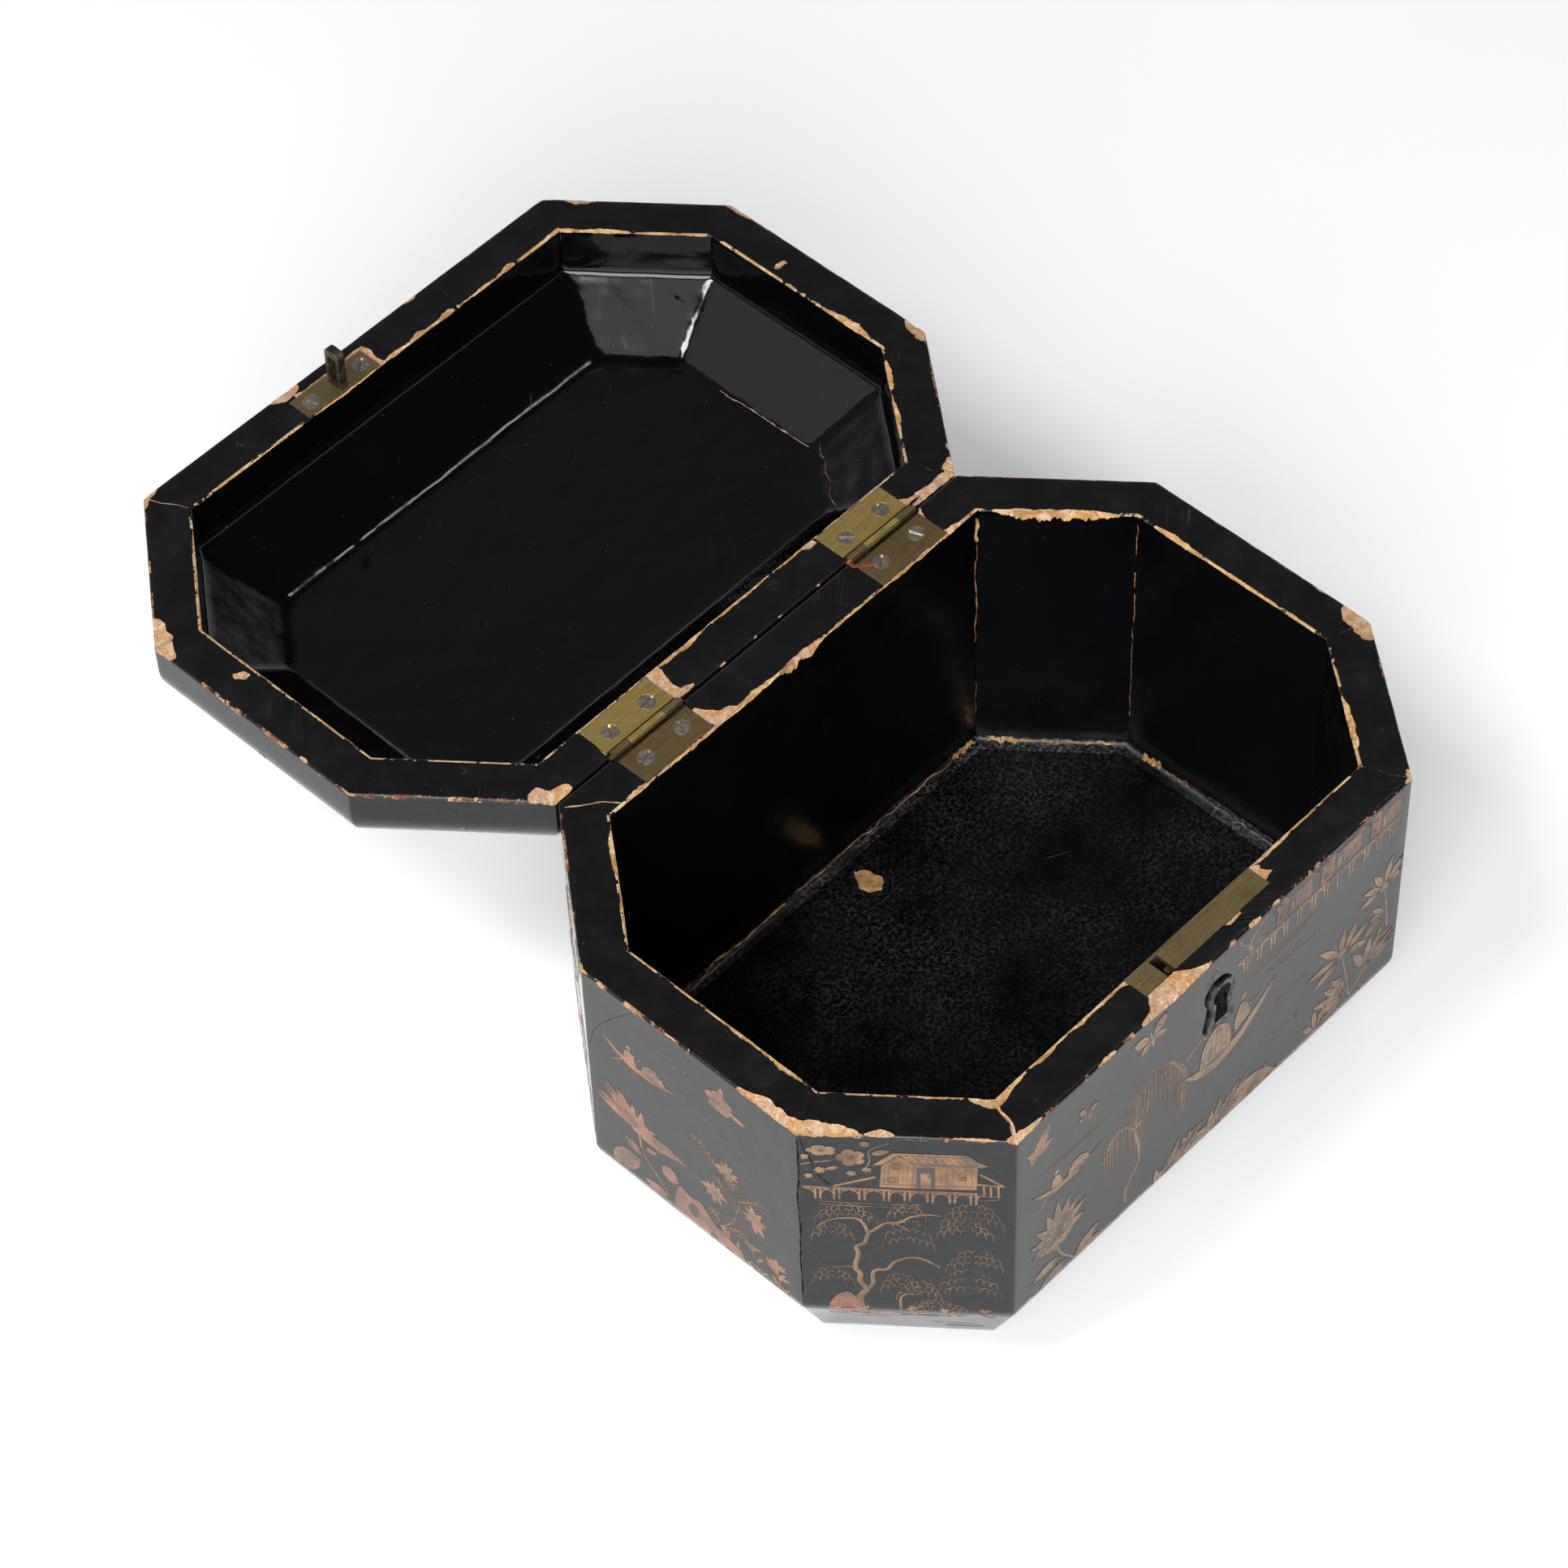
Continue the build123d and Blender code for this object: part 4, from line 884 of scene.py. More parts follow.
def corner_cracks(cut):
    """Upright splits in three corners inside and down an outside one, and short cracks in two outside walls."""
    for side, first, last, width, slot in (
            (BACK_RIGHT, 3.5, 15, 1.3, WOOD), (BACK_RIGHT, 15.5, 64, 0.42, WOOD),
            (BACK_RIGHT, 66, 80, 0.3, GAP), (BACK_RIGHT, 84, 101, 0.3, BARE),
            (RIGHT_END, 4, 19, 0.34, BARE), (RIGHT_END, 27, 35, 0.5, BARE), (RIGHT_END, 37, 52, 0.42, BARE),
            (RIGHT_END, 54, 99, 0.3, BARE), (LEFT_END, 16, 70, 0.4, GAP)):
        outward = Vector((*corner(side, 0), 0)).normalized()
        path = [cut.place(side + 1 + wave((depth, side, 0), 5) * 0.5 / side_length(side), WALL + 0.10, depth)
                for depth in (first + (last - first) * k / 14 for k in range(15))]
        cut.crack(path, -outward, width, 0.7, slot)
    outward = Vector((*corner(LEFT_END, 0), 0)).normalized()
    spots = ((0, 3), (0.5, 20), (-0.6, 32), (0.2, 50), (-0.3, 66), (0.1, 84))
    cut.crack([cut.place(LEFT_END + 1 + bend / 87, 0.1, depth) for bend, depth in spots], outward, 0.55, 0.9)
    for side, width, spots in (
            (FRONT_LEFT, 0.45, ((0.9, 2), (1.6, 7), (3.6, 12), (4.4, 17), (6.6, 22), (9.4, 26))),
            (FRONT_LEFT, 0.16, ((9.4, 26), (14, 29.5), (16.4, 34), (16.8, 40))),
            (LEFT_END, 0.18, ((1.0, 36), (3.0, 28), (6.2, 21.5), (13, 12), (21, 2.2)))):
        (nx, ny), _ = SIDES[side]
        cut.crack([cut.place(at(side, u), 0.0, depth) for u, depth in spots], (nx, ny, 0), width, 0.5)


def floor_patch(cut):
    """Lacquer flaked off the floor down to the wood."""
    outline = [(11.0, 61.5), (12.2, 58.8), (15.2, 58.0), (18.6, 59.6), (18.9, 63.6), (17.6, 67.2), (14.6, 69.0),
               (12.8, 66.6), (11.4, 65.0)]
    cut.seed += 1
    ragged = ragged_outline(outline, 0.45, 1.1, cut.seed)
    cut.sweep([[Vector((x, y, FLOOR_TOP + z)) for x, y in ragged] for z in (1, -0.35)], WOOD)


# ---- seats for the fittings ----
SEAT_GAP = 0.15
FRONT_INSIDE = WALL - WIDTH / 2
LEAF_SEAT_DEPTH, BARREL_ROOM, PIN_ROOM = 1.3, 1.9, 1.2
LOCK_FACE_SEAT, LOCK_BACK_SEAT, STRIKER_SEAT = 1.6, 1.0, 1.4
KEY_X, KEY_Z = 1.2, 100.8
KEYHOLE_OUTLINE = (3.9, 2.6, 2.9, 12.3)          # round radius, half waist, half foot, drop to the foot
ESCUTCHEON_OUTLINE = (6.2, 4.9, 6.4, 15.3)
ESCUTCHEON_SUNK, KEYHOLE_DEPTH = 0.5, 4.5


def seat_box(node, lid=False):
    """Low and high corners in mm of the seat of a CAD node, drawn shut."""
    low, high = (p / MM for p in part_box(node))
    if lid:
        low, high = shut_to_open((low.x, high.y, high.z)), shut_to_open((high.x, low.y, low.z))
    gap = Vector((SEAT_GAP,) * 3)
    return low - gap, high + gap


def leaf_seats(cut):
    for side in ("left", "right"):
        low, high = seat_box(f"hinge_{side}_body_leaf")
        near, far = cut.rim - cut.up * LEAF_SEAT_DEPTH, cut.rim + cut.up * 2
        cut.block((low.x, low.y, min(near, far)), (high.x, AXIS_Y + 3, max(near, far)))


def barrel_seats(cut):
    for side in ("left", "right"):
        low, high = seat_box(f"hinge_{side}_body_leaf")
        turns = [math.tau * k / 20 for k in range(20)]
        cut.sweep([[Vector((x, AXIS_Y + BARREL_ROOM * math.cos(a), AXIS_Z + BARREL_ROOM * math.sin(a)))
                    for a in turns] for x in (low.x - PIN_ROOM, high.x + PIN_ROOM)])


def lock_face_seat(cut):
    low, high = seat_box("lock_plate")
    cut.block((low.x, low.y, BODY_HEIGHT - LOCK_FACE_SEAT), (high.x, FRONT_INSIDE + 1, BODY_HEIGHT + 1))


def lock_back_seat(cut):
    low, high = seat_box("lock_plate")
    cut.block((low.x, FRONT_INSIDE - LOCK_BACK_SEAT, low.z), (high.x, FRONT_INSIDE + 1, BODY_HEIGHT + 1))


def lock_case_seat(cut):
    cut.block(*seat_box("lock_case"))


def keyhole_outline(outline, y):
    """A round top that runs down into a flared foot, on the front wall at y."""
    radius, waist, foot, drop = outline
    reach = math.acos(-waist / radius) - math.pi / 2
    turns = [-math.pi / 2 + reach + (math.tau - 2 * reach) * k / 22 for k in range(23)]
    flat = [(radius * math.cos(a), radius * math.sin(a)) for a in turns]
    flat += [(-waist, -radius), (-foot, -drop), (foot, -drop), (waist, -radius)]
    return [Vector((KEY_X + x, y, KEY_Z + z)) for x, z in flat]


def keyhole_seat(cut):
    cut.sweep([keyhole_outline(KEYHOLE_OUTLINE, -WIDTH / 2 + y) for y in (-1, KEYHOLE_DEPTH)])


def escutcheon_seat(cut):
    cut.sweep([keyhole_outline(ESCUTCHEON_OUTLINE, -WIDTH / 2 + y) for y in (-1, ESCUTCHEON_SUNK)])


def striker_seat(cut):
    low, high = seat_box("striker_plate", lid=True)
    cut.block((low.x, low.y, LID_RIM - 1), (high.x, high.y, LID_RIM + STRIKER_SEAT))


SHELL_SEEDS = {False: 1, True: 2}    # by whether it is the lid
CRISP_ANGLE = 38


def worn_shell(name, profile, rim, up, body, steps, stands_for):
    """A shell with everything in steps cut out of it, one kind after another."""
    seed = SHELL_SEEDS[up < 0]
    materials = SHELL_MATERIALS if up > 0 else LID_MATERIALS
    obj = shell(name, profile, rim, up, materials, seed)
    cut = Cutter(rim, up, seed * 40)
    for step in steps:
        step(cut)
        cut.cut(obj, materials)
    shade(obj, CRISP_ANGLE)
    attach(obj, body)
    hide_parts(*stands_for)
    return obj


SIDE_NAMES = ("front", "front_right", "right_end", "back_right", "back", "back_left", "left_end", "front_left")
box_shell = worn_shell(
    "box_shell", box_profile(), BODY_HEIGHT, 1, "box",
    (leaf_seats, barrel_seats, lock_face_seat, lock_back_seat, lock_case_seat, keyhole_seat, escutcheon_seat,
     box_wear, box_patches, box_cracks, foot_cracks, corner_cracks, floor_patch, dent_rings),
    ["bottom_board"] + [f"body_{side}_wall" for side in SIDE_NAMES])
lid_shell = worn_shell(
    "lid_shell", lid_profile(), LID_RIM, -1, "lid",
    (leaf_seats, barrel_seats, striker_seat, lid_wear, lid_patches, lid_cracks, dent_rings),
    ["lid_top_board"] + [f"lid_{side}_{part}" for side in SIDE_NAMES for part in ("rail", "slope")])


# ---- fittings: the CAD's own shapes with real metal on them ----
YELLOW_BRASS = brass("yellow_brass", (0.86, 0.63, 0.20), (0.56, 0.39, 0.12), (0.16, 0.105, 0.04), 0.34)
BROWN_BRASS = brass("brown_brass", (0.38, 0.265, 0.115), (0.215, 0.145, 0.068), (0.085, 0.056, 0.032), 0.38)
GREY_BRASS = brass("lock_brass", (0.40, 0.295, 0.135), (0.25, 0.178, 0.088), (0.10, 0.068, 0.038), 0.38)
SCREW_STEEL = steel("screw_steel", (0.58, 0.55, 0.49), 0.8)
DARK_IRON = iron("dark_iron", (0.10, 0.095, 0.09), (0.022, 0.021, 0.021), 0.34)
STAPLE_IRON = iron("staple_iron", (0.17, 0.135, 0.08), (0.040, 0.033, 0.024), 0.38)
FITTINGS = {
    YELLOW_BRASS: ("hinge_left_lid_leaf", "hinge_right_lid_leaf"),
    BROWN_BRASS: ("hinge_left_body_leaf", "hinge_right_body_leaf", "hinge_left_pin"),
    GREY_BRASS: ("lock_plate", "lock_nails", "lock_bolt", "lock_bolt_studs", "striker_plate"),
    SCREW_STEEL: ("hinge_body_screws", "hinge_lid_screws", "striker_screws"),
    DARK_IRON: ("lock_case", "lock_spring", "lock_key_pin", "keyhole_escutcheon"),
    STAPLE_IRON: ("striker_staple",),
    copper(): ("hinge_right_pin",),
}
for metal, nodes in FITTINGS.items():
    for node in nodes:
        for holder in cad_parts[node].material_slots:
            holder.material = metal


# ---- ornament: gilding laid on the lacquer ----
GILT_HEIGHT = {"red": 0.055, "gold": 0.075, "ink": 0.10}
GILT_SUNK = 0.06
GILT_HOLD = 0.09           # how near lacquer must be for gilding to be on it
GRID_STEP = 2.4
TINY = 1e-4
GABLE = 0.34               # the end wall's share of a pavilion


class Field:
    """One side of the box or lid as a flat sheet: u runs along the side, v is the height on the box.

    On the lid v is the distance up from its rim. A mirrored field runs the other way round."""

    def __init__(self, side, lid=False, mirror=False):
        self.side, self.lid, self.mirror = side, lid, mirror
        self.up, self.rim = (-1, LID_RIM) if lid else (1, BODY_HEIGHT)
        rows = [(i, d) for i, d, *_ in (lid_profile() if lid else box_profile())]
        top = next(k for k, (i, d) in enumerate(rows) if i == 0 and d <= RIM_SOFT + 0.7)
        self.path = [(0.0, 0.0)] + rows[top::-1]
        self.way = [0.0]
        for a, b in zip(self.path, self.path[1:]):
            self.way.append(self.way[-1] + math.dist(a, b))

    def place(self, u, v, out):
        """The point in mm, drawn shut, at u and v and standing out from the true surface."""
        if self.mirror:
            u = side_length(self.side) - u
        far = min(max(v if self.lid else BODY_HEIGHT - v, 0.0), self.way[-1] - 1e-6)
        k = next(n for n, w in enumerate(self.way) if w > far) - 1
        (i0, d0), (i1, d1) = self.path[k], self.path[k + 1]
        share = (far - self.way[k]) / (self.way[k + 1] - self.way[k])
        inset, depth = i0 + (i1 - i0) * share, d0 + (d1 - d0) * share
        step = math.dist((i0, d0), (i1, d1))
        (nx, ny), _ = SIDES[self.side]
        start, end = corner(self.side - 1, 0), corner(self.side, 0)
        flat = start + (end - start).normalized() * u - Vector((nx, ny)) * inset
        point = Vector((flat.x, flat.y, self.rim - self.up * depth))
        normal = Vector((nx * (d1 - d0), ny * (d1 - d0), -self.up * (i1 - i0))) / step
        away = Vector((point.x, point.y, 0)).normalized()
        return point + normal * (out + ripple(point, OUTSIDE, SHELL_SEEDS[self.lid]) * away.dot(normal))


class TopField:
    """The flat top of the shut lid: u is x and v is y."""

    lid, mirror = True, False

    def place(self, u, v, out):
        point = Vector((u, v, LID_RIM + LID_DEPTH))
        return point + Vector((0, 0, out - ripple(point, OUTSIDE, SHELL_SEEDS[True])))


def curve(points, step=0.8):
    """A smooth line through points, as short steps."""
    pts = [Vector(p) for p in points]
    ends = [2 * pts[0] - pts[1], *pts, 2 * pts[-1] - pts[-2]]
    out = [pts[0]]
    for a, b, c, d in zip(ends, ends[1:], ends[2:], ends[3:]):
        count = max(2, round((c - b).length / step))
        for t in (k / count for k in range(1, count + 1)):
            out.append(0.5 * (2 * b + (c - a) * t + (2 * a - 5 * b + 4 * c - d) * t ** 2
                              + (3 * b - a - 3 * c + d) * t ** 3))
    return out


def turned(angle, length=1.0):
    return Vector((math.cos(math.radians(angle)), math.sin(math.radians(angle)))) * length


class Drawing:
    """Motifs on one field, as flat polygons in mm: red gilding, gilding over it, dark lines over both."""

    def __init__(self, field, seed):
        self.field, self.chance = field, random.Random(RANDOM_SEED * 100 + seed)
        self.shapes = {"red": [], "gold": [], "ink": []}

    def vary(self, low, high):
        return self.chance.uniform(low, high)

    def fill(self, layer, outline, edge=None, width=0.26):
        self.shapes[layer].append([tuple(p) for p in outline])
        if edge:
            self.line(edge, [*outline, outline[0]], width, 1.0, smooth=False)

    def line(self, layer, points, width=0.4, tip=0.45, smooth=True):
        path = curve(points) if smooth else [Vector(p) for p in points]
        rows = []
        for k, p in enumerate(path):
            ahead = path[min(k + 1, len(path) - 1)] - path[max(k - 1, 0)]
            half = width / 2 * (1 + (tip - 1) * k / (len(path) - 1))
            across = Vector((-ahead.y, ahead.x)).normalized() * half
            rows.append((tuple(p + across), tuple(p - across)))
        for (a, b), (c, d) in zip(rows, rows[1:]):
            self.shapes[layer].append([a, b, d, c])

    def spot(self, layer, x, y, rx, ry=None, edge=None, lobes=0, depth=0.0):
        """A round spot, or a blossom when it has lobes."""
        ry = ry or rx
        turns = [math.tau * k / (8 * max(lobes, 2)) for k in range(8 * max(lobes, 2))]
        swell = [1 - depth + depth * abs(math.sin(a * lobes / 2)) ** 0.6 if lobes else 1.0 for a in turns]
        outline = [(x + rx * s * math.cos(a), y + ry * s * math.sin(a)) for a, s in zip(turns, swell)]
        self.fill(layer, outline, edge)

    def spikes(self, layer, base, tips, width, edge=None):
        """Pointed petals from one place to each of some tips, bent to either side in turn."""
        for k, tip in enumerate(tips):
            way = Vector(tip) - Vector(base)
            turn = 8 if k % 2 else -8
            angle = math.degrees(math.atan2(way.y, way.x)) - turn / 2
            self.leaf(layer, base, angle, way.length, width, edge, turn)

    def crowns(self, *places):
        for place in places:
            self.crown(*place)

    def leaf(self, layer, base, angle, length, width, edge=None, bend=0.0, fat=0.85, rib=True):
        spine = [Vector(base) + turned(angle + bend * k / 7, length * k / 7) for k in range(8)]
        left, right = [], []
        for k, p in enumerate(spine):
            ahead = spine[min(k + 1, 7)] - spine[max(k - 1, 0)]
            across = Vector((-ahead.y, ahead.x)).normalized() * width / 2 * math.sin(math.pi * (k / 7) ** fat)
            left.append(p + across)
            right.append(p - across)
        self.fill(layer, left + right[6:0:-1], edge, 0.17)
        if rib and edge:
            self.line(edge, spine[:6:2] + [spine[6]], 0.17)

    def burst(self, layer, x, y, size, count, first=0, last=360, width=0.22, edge=None):
        """Narrow petals all round, or over part of a turn."""
        for k in range(count):
            angle = first + (last - first) * (k + 0.5) / count + self.vary(-6, 6)
            length = size * self.vary(0.7, 1.15)
            self.leaf(layer, (x, y), angle, length, length * width, edge, self.vary(-12, 12), rib=False)

    def lotus(self, layer, x, y, size, tilt, edge):
        """A spiky lotus seen from the side, with rounder petals at its heart."""
        for angle, share in ((-78, 0.75), (-52, 0.9), (-33, 1.0), (-16, 1.1), (0, 1.15), (15, 1.0), (34, 0.9),
                             (56, 0.8), (82, 0.65)):
            self.leaf(layer, (x, y), tilt + angle, size * share, size * 0.24, edge, angle * 0.12)
        for angle, share in ((100, 0.5), (135, 0.38), (180, 0.34), (-135, 0.38), (-104, 0.46), (60, 0.4),
                             (-60, 0.42)):
            self.leaf(layer, (x, y), tilt + angle, size * share, size * 0.3, edge, fat=1.1, rib=False)

    def butterfly(self, layer, x, y, size, tilt, edge):
        for angle, share, fat in ((38, 1.0, 1.25), (142, 1.0, 1.25), (-28, 0.7, 1.2), (208, 0.7, 1.2)):
            self.leaf(layer, (x, y), tilt + angle, size * share, size * 0.5 * share, edge, fat=fat)
        self.leaf(layer, Vector((x, y)) + turned(tilt - 90, size * 0.5), tilt + 90, size, size * 0.16, None)
        for side in (-1, 1):
            tip = Vector((x, y)) + turned(tilt + 90 - side * 24, size)
            self.line("gold", [Vector((x, y)) + turned(tilt + 90, size * 0.4), tip], 0.25)

    def crown(self, x0, x1, y0, y1):
        """A clump of willow twigs in layers like open umbrellas: each twig rises a little and hooks over."""
        middle, half, high = (x0 + x1) / 2, (x1 - x0) / 2, y1 - y0
        for drop, share, gap, reach in ((0.05, 0.60, 2.0, 0.85), (0.31, 0.84, 2.2, 1.0), (0.57, 1.0, 2.4, 1.1)):
            count = max(3, round(2 * half * share / gap))
            for k in range(count):
                t = (2 * k + 1) / count - 1 + self.vary(-0.03, 0.03)
                side = 1 if t > 0 else -1
                p = Vector((middle + half * 0.86 * share * t, y1 - high * (drop + 0.20 * t * t)))
                size = reach * min(1.0, high / 8) * (0.75 + 0.45 * abs(t)) * self.vary(0.85, 1.15)
                hook = ((-0.5, -0.8), (0.1, 0.2), (0.8, 0.4), (1.4, -0.6), (1.6, -1.9), (1.6, -3.1))
                self.line("gold", [p + Vector((side * x, y)) * size for x, y in hook], 0.21, 0.5)

    def tree(self, *branches):
        """Limbs (width, tip, points) in gilding with a dark line down one side."""
        for width, tip, *points in branches:
            self.line("gold", points, width, tip)
            self.line("ink", [(x + width * 0.22, y - 0.2) for x, y in points], 0.16, 1.0)

    def fern(self, points, curl=1.7, gap=1.35):
        path = curve(points, gap)
        self.line("gold", points, 0.36)
        for k, p in enumerate(path[1:-1], 1):
            along = path[k + 1] - path[k - 1]
            heading = math.degrees(math.atan2(along.y, along.x))
            for side in (-1, 1):
                size = curl * (1.15 - 0.7 * k / len(path))
                self.line("gold", [p, *(p + turned(heading + side * angle, size * share) for angle, share in
                                        ((40, 0.7), (58, 1), (82, 1.05)))], 0.24, 0.6)

    def spray(self, layer, base, angle, size, edge=None):
        """A bamboo or peony stem with pointed leaves and hair-fine bristles."""
        tip = Vector(base) + turned(angle + 12, size)
        middle = Vector(base) + turned(angle, size * 0.55)
        self.line("gold", [base, middle, tip], 0.5)
        for k in range(7):
            spot = Vector(base).lerp(middle, k / 4) if k < 4 else middle.lerp(tip, (k - 3) / 3)
            side = 1 if k % 2 else -1
            self.leaf(layer, spot, angle + side * self.vary(22, 44), size * self.vary(0.30, 0.42), size * 0.082,
                      edge, side * 14)
            self.line("gold", [spot, spot + turned(angle + side * 62, size * 0.16),
                               spot + turned(angle + side * 30, size * 0.27)], 0.2)
        self.burst(layer, tip.x, tip.y, size * 0.34, 5, angle - 42, angle + 52, 0.20, edge)

    def tuft(self, layer, base, angle, size, count, spread):
        """Pointed leaves fanned out from one spot, with a curl between them."""
        for k in range(count):
            way = angle + spread * (k / (count - 1) - 0.5)
            start = Vector(base) + turned(way, size * 0.16)
            self.leaf(layer, start, way, size * self.vary(0.62, 0.95), size * 0.20, "ink", self.vary(-9, 9))
            if k:
                curl = [Vector(base), Vector(base) + turned(way - spread * 0.5 / count, size * 0.6),
                        Vector(base) + turned(way - spread * 0.8 / count, size * 0.95)]
                self.line(layer, curl, 0.3, 0.4)

    def rock(self, layer, outline, holes=(), edge=None):
        self.fill(layer, [p + 0.35 * Vector((wave((*p, 0), 2.5, 1), wave((*p, 0), 2.5, 2)))
                          for p in curve(outline + outline[:1], 1.2)[:-1]], edge)
        for x, y, rx, ry in holes:
            self.spot("ink", x, y, rx, ry)
            self.spot("gold", x, y, rx * 1.18, ry * 1.12)

    def boat(self, layer, x, y, length, edge, lean=1.0):
        """A sampan with a rowing figure and a rounded cabin; lean -1 points it the other way."""
        def scaled(*points):
            return [(x + lean * length * a, y + length * b) for a, b in points]
        self.fill(layer, scaled((-0.52, 0.20), (-0.36, 0.05), (-0.14, -0.045), (0.14, -0.055), (0.36, 0.01),
                                (0.52, 0.09), (0.36, 0.045), (0.14, 0.02), (-0.12, 0.03), (-0.33, 0.10)), edge)
        self.line(edge, scaled((-0.5, 0.18), (-0.3, 0.045), (0, -0.02), (0.3, 0.005), (0.5, 0.08)), 0.22, 1.0)
        self.fill(layer, scaled((0.02, 0.03), (0.05, 0.14), (0.13, 0.20), (0.22, 0.20), (0.31, 0.14),
                                (0.36, 0.05)), edge)
        for k in range(4):
            top = 0.17 - 0.03 * abs(k - 1.2)
            rib = ((0.07 + 0.06 * k, 0.045), (0.085 + 0.06 * k, top), (0.13 + 0.055 * k, top - 0.01))
            self.line(edge, scaled(*rib), 0.2, 1.0)
        sitter = scaled((-0.22, 0.03), (-0.21, 0.19), (-0.15, 0.24), (-0.09, 0.19), (-0.05, 0.03))
        self.fill(layer, sitter, edge)
        self.spot("gold", *scaled((-0.145, 0.285))[0], 0.034 * length)
        self.line("gold", scaled((-0.13, 0.19), (-0.03, 0.16), (0.02, 0.22)), 0.3, 1.0)
        self.line("gold", scaled((-0.06, 0.23), (-0.28, -0.02), (-0.46, -0.16)), 0.34, 1.0)
        self.water(x, y - 0.10 * length, length * 0.8, 2)

    def water(self, x, y, width, rows=3):
        """Fine wavering lines."""
        for k in range(rows):
            left = x - width / 2 + self.vary(0, 0.3) * width
            right = left + width * self.vary(0.35, 0.7)
            level = y - 1.5 * k
            self.line("gold", [(left, level), (left * 0.6 + right * 0.4, level + self.vary(-0.4, 0.5)),
                               (right, level + self.vary(-0.3, 0.3)), (right + 1.2, level + 0.8)], 0.17, 1.0)

    def deck(self, x0, x1, y, post):
        """A long plank walk on braced posts."""
        gap = 6.5
        self.fill("gold", [(x0, y), (x1, y - 0.2), (x1, y - 1.3), (x0, y - 1.1)])
        self.line("ink", [(x0, y - 0.55), (x1, y - 0.75)], 0.18, 1.0)
        x = x0 + gap / 2
        while x < x1 - 1:
            for shift in (0, 1.5):
                left = x + shift
                self.fill("gold", [(left, y - 1), (left + 0.75, y - 1),
                                   (left + 0.7, y - post * self.vary(0.85, 1.1)), (left + 0.05, y - post)])
            self.line("gold", [(x - 2.2, y - 1.2), (x - 0.6, y - 1.9), (x + 0.1, y - 3.4)], 0.55, 0.7)
            self.line("gold", [(x + 4.3, y - 1.2), (x + 2.8, y - 1.9), (x + 2.2, y - 3.4)], 0.55, 0.7)
            x += gap * self.vary(0.85, 1.15)

    def pavilion(self, x, y, width, height, layer="gold", edge="ink"):
        """A waterside house: a gabled end wall, a long wall with a door and windows, and a ridged roof."""
        def scaled(*points):
            return [(x + width * a, y + height * b) for a, b in points]

        def strokes(thick, *lines):
            for line in lines:
                self.line(edge, scaled(*line), thick, 1.0)
        self.fill(layer, scaled((0.05, 0), (0.07, 0.62), (0.22, 0.93), (0.37, 0.70), (GABLE + 0.02, 0)), edge)
        self.fill(layer, scaled((GABLE, 0), (GABLE + 0.02, 0.72), (0.93, 0.72), (0.92, 0.03)), edge)
        self.fill(layer, scaled((-0.02, 0.62), (0.07, 0.80), (0.17, 1.0), (0.84, 1.02), (0.93, 0.84),
                                (1.03, 0.74), (0.97, 0.68), (0.36, 0.68), (0.24, 0.93), (0.08, 0.66)), edge)
        strokes(0.17, *(((a, 0.98), (a + 0.10, 0.70)) for a in (0.27 + 0.072 * k for k in range(9))))
        strokes(0.2, ((0.20, 0.94), (0.86, 0.96)))
        for k in range(6):
            strokes(0.13, ((0.60 + 0.055 * k, 0.10), (0.60 + 0.055 * k, 0.66)))
            strokes(0.11, ((0.09 + 0.042 * k, 0.06), (0.10 + 0.042 * k, 0.62 + 0.04 * min(k, 4))))
        strokes(0.17, ((0.06, 0.09), (0.92, 0.11)))
        door = GABLE + 0.04
        self.fill(edge, scaled((door, 0.02), (door, 0.62), (door + 0.17, 0.62), (door + 0.17, 0.02),
                               (door + 0.13, 0.02), (door + 0.13, 0.45), (door + 0.04, 0.45),
                               (door + 0.04, 0.02)))
        for a, b, r in ((0.20, 0.62, 0.045), (0.17, 0.22, 0.05), (0.80, 0.34, 0.03)):
            for scale in (1.0, 0.55):
                ring = [Vector(scaled((a, b))[0]) + turned(45 * k, r * width * scale) for k in range(9)]
                self.line(edge, ring, 0.26, 1.0)

    def ground(self):
        """Worn streaks of gilding along the foot, below the turn of the wall."""
        wide = side_length(self.field.side)
        for k in range(round(wide / 7)):
            x, y = self.vary(7, wide - 16), self.vary(5, 27)
            far = self.vary(4, 15)
            bend = [(x + far * t / 3, y + self.vary(-0.7, 0.7)) for t in range(4)]
            self.line("gold" if k % 3 else "ink", bend, self.vary(0.2, 0.9), 0.3)
        self.line("gold", [(wide * t / 6, 27 + self.vary(-1.2, 1.2)) for t in range(7)], 0.3, 0.8)

    def scribble(self, x, y, width, height, count):
        """Loose hair-fine curls, like worn cloud scrolls."""
        for _ in range(count):
            cx, cy = x + self.vary(0, width), y + self.vary(0, height)
            size = self.vary(0.8, 1.9)
            turn = self.vary(0, 360)
            curl = [Vector((cx, cy)) + turned(turn + 70 * k, size * (1 - 0.16 * k)) for k in range(5)]
            self.line("gold", curl, 0.17)

    def hanging(self, crown, drop):
        """A weeping willow's crown with long straight fronds."""
        gap = 1.3
        for k, p in enumerate(curve(crown, gap)):
            low = drop * self.vary(0.45, 1.0)
            lean = self.vary(-0.6, 0.6)
            self.line("gold", [p, p + Vector((lean * 0.5, 1.0)), p + Vector((lean, -low * 0.4)),
                               p + Vector((lean * 1.4, -low))], 0.24, 0.6)
            if k % 2:
                fork = p + Vector((lean, -low * 0.3))
                self.line("gold", [fork, p + Vector((lean + 0.9, -low * 0.3 - 1.6))], 0.18)


